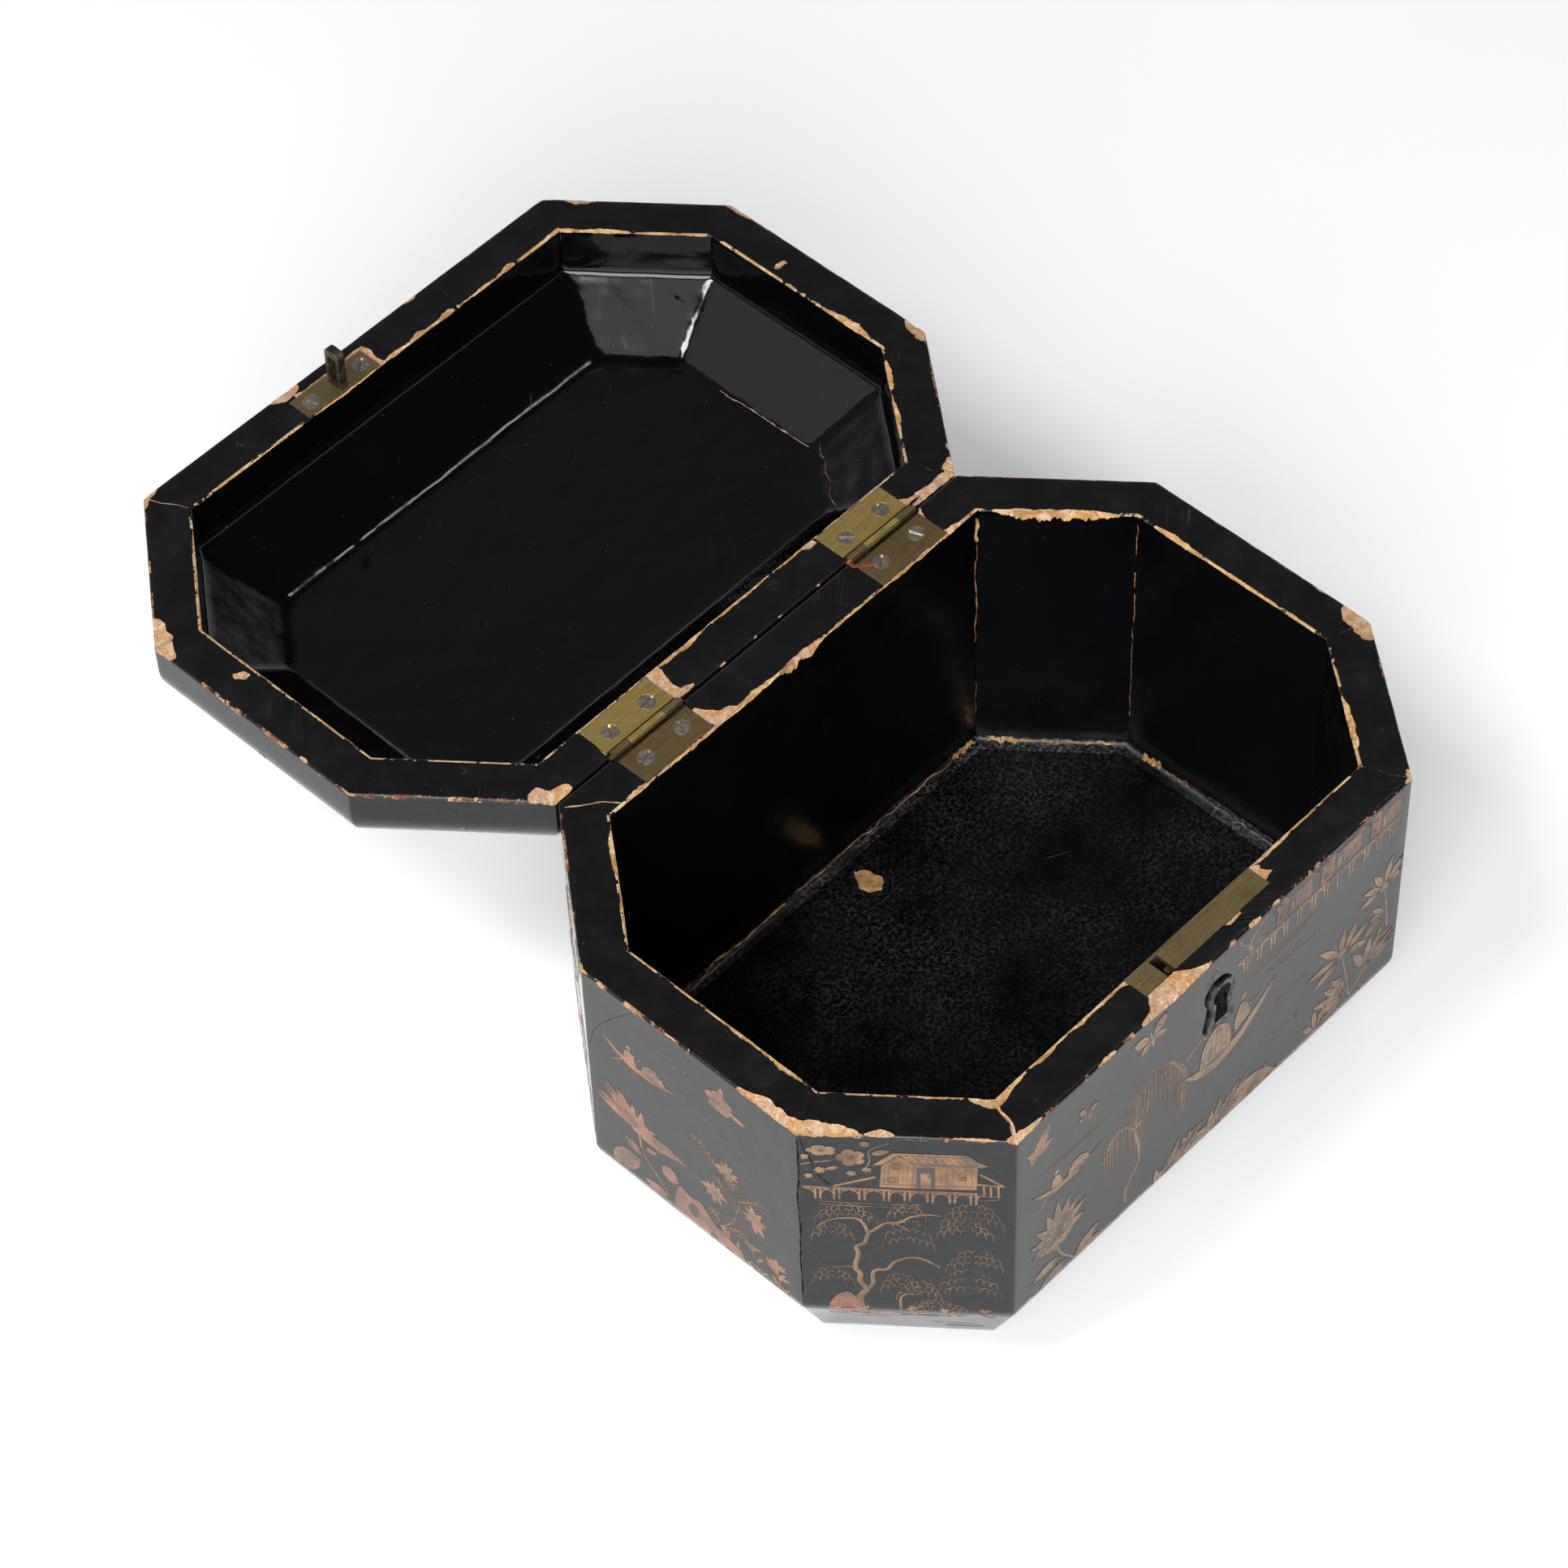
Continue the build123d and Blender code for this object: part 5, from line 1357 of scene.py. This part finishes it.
def inked(name, colour, worn, rough, metal):
    """Gilding or coloured lacquer laid thinly, rubbed through to the black here and there."""
    f = Finish(name)
    cloud = f.noise(9, 4.0, 0.62, shift=1)
    grain = f.noise(0.7, 4.0, 0.75, shift=3)
    deep, pale = (tuple(c * k for c in colour) for k in (0.55, 1.25))
    base = f.mix(f.fade(cloud, 0.36, 0.64), deep, pale)
    lost = f.fade(f.sum("ADD", f.noise(6, 5.0, 0.7, shift=6), f.times(f.sum("SUBTRACT", grain, 0.5), 0.5)),
                  0.66 - worn, 0.72 - worn)
    base = f.over(base, (0.020, 0.014, 0.010), lost, 0.9)
    f.bumps((grain, 0.02), (lost, -0.03))
    return f.surface(base_color=base, metallic=f.fade(lost, 0, 1, metal, 0.0),
                     roughness=f.fade(lost, 0, 1, rough, 0.3), ior=1.65)


GILT_MATERIALS = {
    "red": inked("red_gilding", (0.215, 0.080, 0.038), 0.08, 0.34, 0.04),
    "gold": inked("old_gilding", (0.220, 0.108, 0.037), 0.08, 0.26, 0.26),
    "ink": inked("black_lines", (0.012, 0.009, 0.008), 0.0, 0.35, 0.0),
}


def holds(outline, x, y):
    """Whether a point is inside an outline."""
    crossed = False
    for (ax, ay), (bx, by) in zip(outline, outline[1:] + outline[:1]):
        if (ay > y) != (by > y) and x < (bx - ax) * (y - ay) / (by - ay) + ax:
            crossed = not crossed
    return crossed


def gild(drawing, name, surface, layers, body):
    """Raised closed pieces for some layers of a drawing, kept only where lacquer is left under them."""
    points, faces, slots = [], [], []
    for number, layer in enumerate(layers):
        shapes = drawing.shapes[layer]
        if not shapes:
            continue
        spots, outlines = [], []
        for shape in shapes:
            turn = sum(a[0] * b[1] - b[0] * a[1] for a, b in zip(shape, shape[1:] + shape[:1]))
            if abs(turn) < TINY:
                continue
            outlines.append(list(range(len(spots), len(spots) + len(shape)))[::1 if turn > 0 else -1])
            spots += shape
        low, high = ([pick(p[k] for p in spots) for k in (0, 1)] for pick in (min, max))
        wide, tall = (int((high[k] - low[k]) / GRID_STEP) + 1 for k in (0, 1))
        loose = [(low[0] + GRID_STEP * i, low[1] + GRID_STEP * j) for i in range(wide) for j in range(tall)]
        corners = [Vector(p) for p in spots + loose]
        flat, _, cells, _, _, inside = delaunay_2d_cdt(corners, [], outlines, 0, TINY, True)
        seats = [drawing.field.place(p.x, p.y, 0.0) for p in flat]
        if drawing.field.lid:
            seats = [shut_to_open(p) for p in seats]
        held = [surface.find_nearest(p * MM)[3] < GILT_HOLD * MM for p in seats]
        outlines = [[spots[k] for k in outline] for outline in outlines]
        kept = []
        for cell, own in zip(cells, inside):
            if own and all(held[k] for k in cell):
                middle = (flat[cell[0]] + flat[cell[1]] + flat[cell[2]]) / 3
                if any(holds(outlines[k], middle.x, middle.y) for k in own):
                    kept.append(cell)
        used = sorted({k for c in kept for k in c})
        index = {k: len(points) + 2 * n for n, k in enumerate(used)}
        for k in used:
            for out in (GILT_HEIGHT[layer], -GILT_SUNK):
                points.append(drawing.field.place(flat[k].x, flat[k].y, out))
        rim = {}
        for c in kept:
            top = [index[k] for k in c]
            faces += [tuple(top), tuple(k + 1 for k in reversed(top))]
            for a, b in zip(top, top[1:] + top[:1]):
                if (b, a) in rim:
                    del rim[b, a]
                else:
                    rim[a, b] = True
        faces += [(a, a + 1, b + 1, b) for a, b in rim]
        slots += [number] * (2 * len(kept) + len(rim))
    if not faces:
        return
    if drawing.field.mirror:
        faces = [face[::-1] for face in faces]
    materials = [GILT_MATERIALS[layer] for layer in layers]
    obj = make_object(name, points, faces, slots, materials, lid=drawing.field.lid)
    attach(obj, body)


def draw_willow_and_pavilion(d):
    """A blossoming branch, a house on posts over water, and an old willow by a rock."""
    d.tree((0.9, 0.5, (1, 104.5), (5, 106), (10, 107)),
           (0.5, 0.5, (20, 104), (21, 108), (21, 113), (26.5, 117)))
    d.spot("gold", 7, 112, 4.6, 2.7, "ink", 5, 0.25)
    d.spot("gold", 15.5, 109, 4.4, 4.4, "ink", 5, 0.28)
    for x, y in ((7, 112), (15.5, 109)):
        d.burst("ink", x, y, 2.2, 9, width=0.12)
    for x, y, r in ((19.5, 116, 1.5), (15.5, 101, 1.5), (20, 103, 1.5), (6.4, 102, 1.7), (1.9, 108.5, 1.5),
                    (3, 99, 1.3)):
        d.spot("gold", x, y, r, r, "ink", 5, 0.25)
    d.leaf("gold", (21.3, 111), 20, 6, 2.6, "ink")
    d.leaf("gold", (12, 104), 200, 5, 1.8, "ink")
    d.pavilion(22, 94.4, 32.5, 17.6)
    d.deck(1.2, 52.2, 93.6, 6.2)
    d.line("gold", [(10, 94), (22.5, 99.5)], 1.0, 1.0)
    d.line("gold", [(41.7, 98.4), (59.8, 97.3)], 0.8, 1.0)
    d.line("gold", [(59.8, 97.3), (52.8, 103)], 0.8, 1.0)
    for x in (54, 56, 58.2):
        d.line("gold", [(x, 97), (x + 0.1, 91.5)], 0.7, 0.9)
    d.water(25, 86, 40, 2)
    d.water(56, 91.5, 10, 2)
    d.tree((2.4, 0.8, (17.7, 30), (17.3, 36), (19.5, 40.4)),
           (1.7, 0.7, (19.5, 40.4), (17.3, 45), (17.5, 48.5), (16, 52), (17, 59), (16.5, 63), (18.8, 65),
            (20.1, 70.2)),
           (1.1, 0.4, (20.1, 70.2), (19, 74.5), (17, 77.5), (12.5, 77.5), (8, 76), (5, 72.3)),
           (1.1, 0.4, (20.1, 70.2), (23, 73.5), (25.5, 76), (29.5, 76.5), (32.5, 79.5), (37.5, 81),
            (41.7, 80.7)),
           (0.7, 0.5, (25.5, 76), (30, 74.5), (32.5, 72)), (0.7, 0.5, (16, 52), (12, 52), (9, 51.4)),
           (1.4, 0.5, (19.5, 40.4), (21.2, 43.5), (21.2, 49), (22.5, 51), (25.5, 51.5), (27.7, 55.5),
            (31.7, 58), (35.6, 58), (38.6, 56), (41.3, 53.6)),
           (0.9, 0.5, (29.5, 30), (29.5, 36), (31.3, 38.5), (35.6, 38.5)), (0.8, 0.5, (31, 30), (36, 32)))
    d.crowns((4, 23, 76, 85), (26, 37, 79, 87), (41, 60.5, 75, 88), (3, 16, 66, 76), (24, 40, 61, 79),
             (40, 57, 70, 79), (3, 15.5, 43, 52), (43, 60.5, 52, 64), (39.5, 60.5, 36, 54),
             (23.5, 35.5, 39, 50), (28.5, 42, 36, 46), (31.5, 50, 30, 36))
    d.rock("red", [(8, 26), (8.5, 32), (11, 37), (14, 38), (16.5, 34), (17, 27)], edge="gold")
    for x in (14, 22, 33, 46, 55):
        d.spray("gold", (x, 22), 80 if x % 2 else 102, 8)
    d.line("gold", [(13, 23), (25, 25.5), (40, 23.5), (50, 26)], 0.4, 0.8)


def draw_flowers_and_boat(d):
    """A boat and a flower over a spiky lotus, a holed rock and a fern."""
    d.boat("red", 22.5, 89.5, 29, "gold")
    for angle in (20, 92, 164, 236, 308):
        d.spot("red", *(Vector((55.5, 105)) + turned(angle, 2.9)), 2.5, 2.2, "gold")
    d.leaf("red", (56, 106), 84, 7.5, 2.6, "gold")
    d.leaf("red", (58, 104), -10, 9, 2.2, "gold")
    d.spikes("red", (18, 57), ((2.6, 60), (3.6, 64.5), (5.2, 68.5), (7.2, 72.2), (10.5, 71), (13.5, 72),
                               (17.5, 69)), 2.5, "gold")
    d.spikes("red", (20, 56.5), ((41, 58.5), (38.5, 55.6), (35, 60), (30.5, 53.5), (27, 62.5), (22.5, 68)),
             2.9, "gold")
    for x, y, r in ((15.5, 58.5, 2.4), (18, 62, 2.5), (22, 60, 2.6), (18.8, 56.8, 2.2), (22.6, 55.8, 2.0)):
        d.spot("red", x, y, r, r * 0.9, "gold")
    d.line("gold", [(20, 55), (21.5, 46.5), (28, 38), (32, 34)], 0.7, 0.8)
    d.leaf("red", (20, 41), 205, 18, 9, "gold", 25)
    d.leaf("red", (21, 44), 150, 9, 4, "gold")
    d.leaf("red", (22.5, 49), 30, 5.5, 2.4, "gold")
    d.spot("red", 32.5, 45.5, 3.8, 3.6, "gold", 2, 0.15)
    d.leaf("red", (31, 33), 190, 10, 4.2, "gold", -10)
    d.rock("red", [(35, 40), (37, 44), (40, 42), (45, 43), (48, 40), (52, 36), (57, 34), (62, 33), (62, 27),
                   (56, 22), (50, 20), (40, 18), (34, 28)],
           ((42, 36, 2.3, 3.2), (50, 29, 1.6, 2.2), (56, 28, 1.2, 1.6)), "gold")
    for points in (((54, 39), (59, 47), (62, 60), (60, 64)), ((60, 64), (52, 71), (47, 76), (42.5, 77)),
                   ((60, 64), (58, 72), (56, 77)), ((62, 60), (69, 66), (76, 68)),
                   ((55.6, 40), (61, 43.5), (66, 44)), ((53.5, 41), (51, 44), (49, 45)),
                   ((60, 58), (57, 60), (54, 62), (53, 65))):
        d.fern(points, 2.7, gap=2.2)
    for x, y, size in ((57.5, 71, 6.0), (51.5, 55.5, 6.0), (68, 56.5, 6.6)):
        d.burst("red", x, y, size, 9, width=0.36, edge="gold")
        d.burst("gold", x, y, size * 0.55, 7, width=0.2)
    for x, angle in ((66, 118), (70, 92), (75, 72), (80, 98)):
        d.spray("red", (x, 24), angle, 15, "gold")
    d.line("gold", [(40.5, 89.5), (48, 91), (56.5, 87.5)], 0.25)
    d.scribble(60, 82, 8, 5, 4)
    d.scribble(30, 104, 14, 6, 4)


def draw_lake(d):
    """The long view: boats, a peony, willows, houses on decks, and sprays by the water."""
    d.leaf("red", (8, 103), 60, 13, 4.6, "gold")
    d.leaf("red", (8, 103), 20, 9, 3.6, "gold")
    d.burst("red", 9, 104, 5, 6, 90, 250, 0.4, "gold")
    d.butterfly("gold", 31, 101, 5.6, -20, "ink")
    d.butterfly("gold", 60, 109, 9.5, 12, "ink")
    d.boat("gold", 22.5, 77, 30, "ink")
    d.lotus("gold", 19, 50, 17, 90, "ink")
    d.line("gold", [(18.5, 50), (21, 40), (28, 30), (33, 26)], 0.7, 0.8)
    for x, y, angle, size in ((28, 32, 20, 12), (27, 31, -5, 12), (21, 38, 175, 13), (24, 34, 200, 17)):
        d.leaf("gold", (x, y), angle, size, size * 0.36, "ink", 10)
    d.tree((1.6, 0.6, (51, 34), (51, 41.5), (56, 49.5), (56, 59), (54.3, 68.5), (59, 73), (59.7, 85)),
           (1.0, 0.4, (54.3, 68.5), (48.5, 75.5), (43, 73.5), (39.5, 66)),
           (1.0, 0.4, (59.7, 85), (66, 87), (69, 88), (74, 80), (77, 72)))
    d.hanging([(40, 72), (45, 76), (52, 76), (56, 72)], 20)
    d.hanging([(51.5, 79), (56, 84), (63, 88), (69, 88), (75, 80), (78, 72)], 27)
    d.crown(50, 70, 82, 92)
    d.fill("gold", curve([(75.5, 71.5), (81, 66), (88, 62.6), (95, 62.5), (104, 66.5), (112, 73.5), (118.5, 82),
                          (111, 76.5), (103, 71), (94, 67.5), (86, 68), (80, 70)]), "ink")
    d.fill("gold", curve([(83.5, 67.5), (84.5, 77), (88, 82.5), (92, 83.5), (96.5, 79.5), (98, 71),
                          (97.5, 66.5)]), "ink")
    for k in range(5):
        d.line("ink", [(85.5 + 2.6 * k, 68), (86 + 2.5 * k, 76), (88 + 1.6 * k, 81.5)], 0.2, 1.0)
    d.fill("gold", curve([(99, 71.5), (100, 80), (102.5, 84.5), (105.5, 81), (107, 75)]), "ink")
    d.spot("gold", 103, 87, 1.5)
    d.line("gold", [(104, 82), (109, 80), (113, 84)], 0.35)
    d.line("gold", [(77, 80.5), (84, 84.5), (86, 82)], 0.7)
    d.fill("gold", curve([(62, 23), (66, 31), (72, 34.5), (80, 36), (90, 34.5), (98, 38), (108, 39.5),
                          (116, 37), (121, 32), (124, 27), (122, 22), (92, 20), (64, 20)]), "ink")
    d.spikes("gold", (68, 24), ((72, 38), (77, 42), (83, 41), (88, 38.5), (64, 36)), 4.0, "ink")
    d.spikes("gold", (92, 26), ((90, 40), (96, 43), (103, 44), (110, 42.5), (115, 39), (84, 36)), 4.4, "ink")
    d.spikes("gold", (104, 22), ((112, 36), (119, 38), (122, 33), (100, 37)), 4.0, "ink")
    for x, y, size in ((80, 35, 5), (98, 35, 5.5), (112, 32, 4.5)):
        d.burst("gold", x, y, size, 7, width=0.42, edge="ink")
    d.deck(98.5, 176, 107, 8)
    for x, width, height in ((115.5, 19, 13), (136, 22, 13.5), (160, 16.5, 12.5)):
        d.pavilion(x, 107.5, width, height, "red", "ink")
    d.tree((1.8, 0.5, (104, 101), (106, 106), (104.5, 111), (108, 115), (112, 118.2)),
           (0.9, 0.5, (104.5, 111), (101, 114), (99.5, 117)), (0.8, 0.5, (106, 106), (110, 109), (113, 109)))
    d.water(125, 96, 40, 3)
    d.water(125, 88, 34, 3)
    d.water(128, 68, 20, 2)
    for points in (((157.5, 33), (155, 46), (152, 58)), ((174.5, 52), (173, 64), (170.5, 78)),
                   ((158, 33), (163, 38), (169, 45))):
        d.line("gold", points, 0.8, 0.7)
    for x, y, angle, size, count, spread in (
            (152, 58, 95, 16, 7, 210), (155, 46, 200, 8, 3, 70), (156, 37, 165, 17, 5, 90),
            (164.5, 39, 62, 17, 5, 95), (169, 47, 30, 9, 3, 80), (171, 74, 98, 15, 6, 150),
            (173, 60, 165, 12, 4, 70), (141, 30, 80, 12, 4, 100)):
        d.tuft("gold", (x, y), angle, size, count, spread)
    d.spot("gold", 152, 60, 2.6, 2.2, "ink", 5, 0.2)
    d.spot("gold", 171, 75, 2.2, 2.2, "ink", 5, 0.2)
    d.scribble(84, 110, 8, 6, 6)
    d.water(28, 91, 40, 2)
    d.scribble(120, 45, 14, 10, 6)
    for x in (8, 20, 34, 46, 58, 130, 150, 168):
        d.spray("gold", (x, 20), 84 if x % 3 else 100, 9)


def draw_garden(d):
    """A holed rock with a peony, a fern, an old tree and a butterfly."""
    d.butterfly("gold", 14, 106, 7, 18, "ink")
    d.tree((2.2, 0.6, (50, 22), (48, 34), (52, 46), (47, 58), (49, 70), (44, 82)),
           (1.2, 0.5, (47, 58), (38, 64), (32, 74)), (1.1, 0.5, (49, 70), (55, 76), (56, 86)))
    d.crowns((34, 58, 84, 96), (22, 42, 74, 84), (44, 60, 58, 68))
    d.rock("red", [(6, 24), (6, 34), (12, 42), (18, 38), (26, 40), (32, 30), (30, 22), (16, 20)],
           ((14, 32, 2.0, 2.8), (24, 30, 1.6, 2.0)), "gold")
    d.lotus("red", 19, 58, 12, 90, "gold")
    d.line("gold", [(19, 58), (20, 48), (22, 40)], 0.7, 0.8)
    d.fern(((30, 38), (33, 46), (32, 54)))
    d.fern(((8, 42), (7, 50), (11, 58)))
    for x, angle in ((34, 92), (42, 76), (12, 110)):
        d.spray("gold", (x, 22), angle, 16)
    d.scribble(28, 104, 20, 8, 8)


def draw_lid_side(d):
    """Flowers, sprays and butterflies in turn along a lid's slope, with a small half fan of petals low in the
    middle.
    """
    wide = side_length(d.field.side)
    for k in range(round(wide / 30)):
        x = (k + 0.5) * wide / round(wide / 30)
        if k % 3 == 0:
            d.burst("red", x, 30, 6.5, 9, width=0.34, edge="gold")
            d.leaf("red", (x, 30), 200, 11, 3.6, "gold", 10)
            d.leaf("red", (x, 30), -20, 11, 3.6, "gold", -10)
        elif k % 3 == 1:
            d.spray("gold", (x - 4, 22), 72, 20)
        else:
            d.butterfly("gold", x, 33, 8, 12, "ink")
    d.burst("gold", wide * 0.47, 14.6, 2.3, 8, 0, 180, 0.14)


def draw_lid_top(d):
    """The same lake on the flat top of the lid."""
    d.deck(-70, 12, 10, 8)
    d.pavilion(-62, 10.5, 26, 17, "red", "gold")
    d.pavilion(-30, 10.5, 32, 20, "red", "gold")
    d.boat("gold", 42, 8, 34, "ink", -1.0)
    d.boat("red", -10, -26, 36, "gold")
    d.tree((2.2, 0.6, (60, -36), (58, -24), (62, -12), (58, 2), (62, 16)),
           (1.2, 0.5, (62, -12), (70, -6), (78, 0)), (1.1, 0.5, (58, 2), (50, 20), (44, 26)))
    d.crowns((44, 78, 16, 32), (66, 84, -8, 8), (36, 56, 24, 36))
    d.rock("gold", [(30, -40), (34, -30), (44, -28), (54, -32), (62, -38), (50, -42)],
           ((44, -35, 2.4, 2.8),), "ink")
    d.lotus("red", -58, -20, 15, 90, "gold")
    d.line("gold", [(-58, -20), (-56, -30), (-50, -40)], 0.7, 0.8)
    for x, y, angle, size in ((-50, -40, 60, 20), (-74, -30, 90, 20), (20, -40, 70, 18), (-34, -42, 90, 16)):
        d.spray("gold", (x, y), angle, size)
    d.butterfly("gold", 4, 36, 8, 15, "ink")
    d.water(0, -8, 90, 3)


LAYOUTS = ((FRONT, draw_lake, False), (FRONT_RIGHT, draw_willow_and_pavilion, True),
           (RIGHT_END, draw_flowers_and_boat, True), (BACK_RIGHT, draw_garden, False),
           (BACK, draw_lake, True), (BACK_LEFT, draw_garden, True),
           (LEFT_END, draw_flowers_and_boat, False), (FRONT_LEFT, draw_willow_and_pavilion, False))
box_surface, lid_surface = (BVHTree.FromObject(obj, bpy.context.evaluated_depsgraph_get())
                            for obj in (box_shell, lid_shell))
for side, layout, mirror in LAYOUTS:
    sheets = [("", box_surface, Field(side, mirror=mirror), layout, "box"),
              ("lid_", lid_surface, Field(side, lid=True), draw_lid_side, "lid")]
    if side == BACK:
        sheets.append(("lid_top_", lid_surface, TopField(), draw_lid_top, "lid"))
    for start, surface, field, draw, body in sheets:
        drawing = Drawing(field, len(start) * 10 + side)
        draw(drawing)
        if not start:
            drawing.ground()
        name = start + ("" if start == "lid_top_" else SIDE_NAMES[side] + "_")
        gild(drawing, name + "red_gilding", surface, ("red",), body)
        gild(drawing, name + "gilding", surface, ("gold", "ink"), body)


# ---- floor, lamps, world, camera ----
FLOOR_HALF, FLOOR_BELOW = 12.0, 0.0002
LAMP_AIM = (0.0, 0.09, 0.06)
FLOOR_COLOUR, FLOOR_LIFT = 0.86, 0.29
WORLD_DIM, WORLD_WHITE = 0.15, 1.0
CAMERA_PLACE, CAMERA_AIM = (-0.7325, -0.6447, 1.3388), (-0.03863, 0.04696, 0.120)
CAMERA_LENS, CAMERA_SENSOR, CAMERA_ROLL = 118.69, 36.0, -2.257


def seen_background(n):
    """1 for rays from the camera, a mirror or glass, and 0 for the rays that only light things."""
    rays = n.node("LightPath").outputs
    return n.most(n.most(rays["Is Camera Ray"], rays["Is Glossy Ray"]), rays["Is Transmission Ray"])


def studio_floor():
    mesh = bpy.data.meshes.new("studio_floor")
    h, z = FLOOR_HALF, -FLOOR_BELOW
    mesh.from_pydata([(-h, -h, z), (h, -h, z), (h, h, z), (-h, h, z)], [], [(0, 1, 2, 3)])
    f = Finish("studio_white")
    smear = f.fade(f.noise(160, 4.0, 0.6), 0.35, 0.70, FLOOR_COLOUR, FLOOR_COLOUR - 0.012)
    grey = f.node("CombineColor", {"Red": smear, "Green": smear, "Blue": smear}).outputs[0]
    lift = f.times(seen_background(f), FLOOR_LIFT)
    mesh.materials.append(f.surface(base_color=grey, roughness=0.9, specular_ior_level=0.1,
                                    emission_color=(0.97, 0.99, 1.0), emission_strength=lift))
    add_object("studio_floor", mesh)


def soft_lamp(name, direction, distance, size, power):
    """A square soft lamp that looks at the object from a direction."""
    data = bpy.data.lights.new(name, "AREA")
    data.shape, data.size, data.energy = "SQUARE", size, power
    lamp = add_object(name, data)
    way = Vector(direction).normalized()
    lamp.location = Vector(LAMP_AIM) + way * distance
    lamp.rotation_euler = way.to_track_quat("Z", "Y").to_euler()


def studio_world():
    """White round the horizon and dim overhead, and plain white behind everything the camera sees."""
    world = bpy.data.worlds.new("studio")
    n = Nodes(world)
    way = n.node("SeparateXYZ", {"Vector": n.node("TexCoord").outputs["Generated"]}).outputs
    dim = n.fade(way["Y"], 0.18, 0.55, WORLD_DIM / 5, WORLD_DIM)
    glow = n.most(n.fade(way["Z"], 0.15, 0.45, WORLD_WHITE, dim), n.node("LightPath").outputs["Is Camera Ray"])
    back = n.node("Background", {"Color": (1, 1, 1, 1), "Strength": glow})
    n.put(n.node("OutputWorld").inputs[0], back.outputs[0])
    bpy.context.scene.world = world


def camera():
    data = bpy.data.cameras.new("camera")
    data.lens, data.sensor_width, data.clip_end = CAMERA_LENS, CAMERA_SENSOR, 100
    seer = add_object("camera", data)
    seer.location = CAMERA_PLACE
    aim = Vector(CAMERA_AIM) - seer.location
    seer.rotation_mode = "QUATERNION"
    seer.rotation_quaternion = aim.to_track_quat("-Z", "Y") @ Quaternion((0, 0, 1), math.radians(CAMERA_ROLL))
    bpy.context.scene.camera = seer


studio_floor()
for lamp in (("key_lamp", (-0.45, 0.10, 0.88), 1.6, 0.42, 12),
             ("side_lamp", (-0.64, -0.52, 0.56), 1.8, 1.1, 33),
             ("strip_lamp", (0.44, -0.03, 0.90), 1.7, 0.22, 0.9),
             ("back_panel", (-0.43, 0.49, 0.76), 1.8, 0.7, 0.9),
             ("high_panel", (-0.33, -0.13, 0.94), 1.7, 0.45, 0.8)):
    soft_lamp(*lamp)
studio_world()
camera()
bpy.context.scene.view_settings.view_transform = "Standard"

bpy.context.view_layer.update()
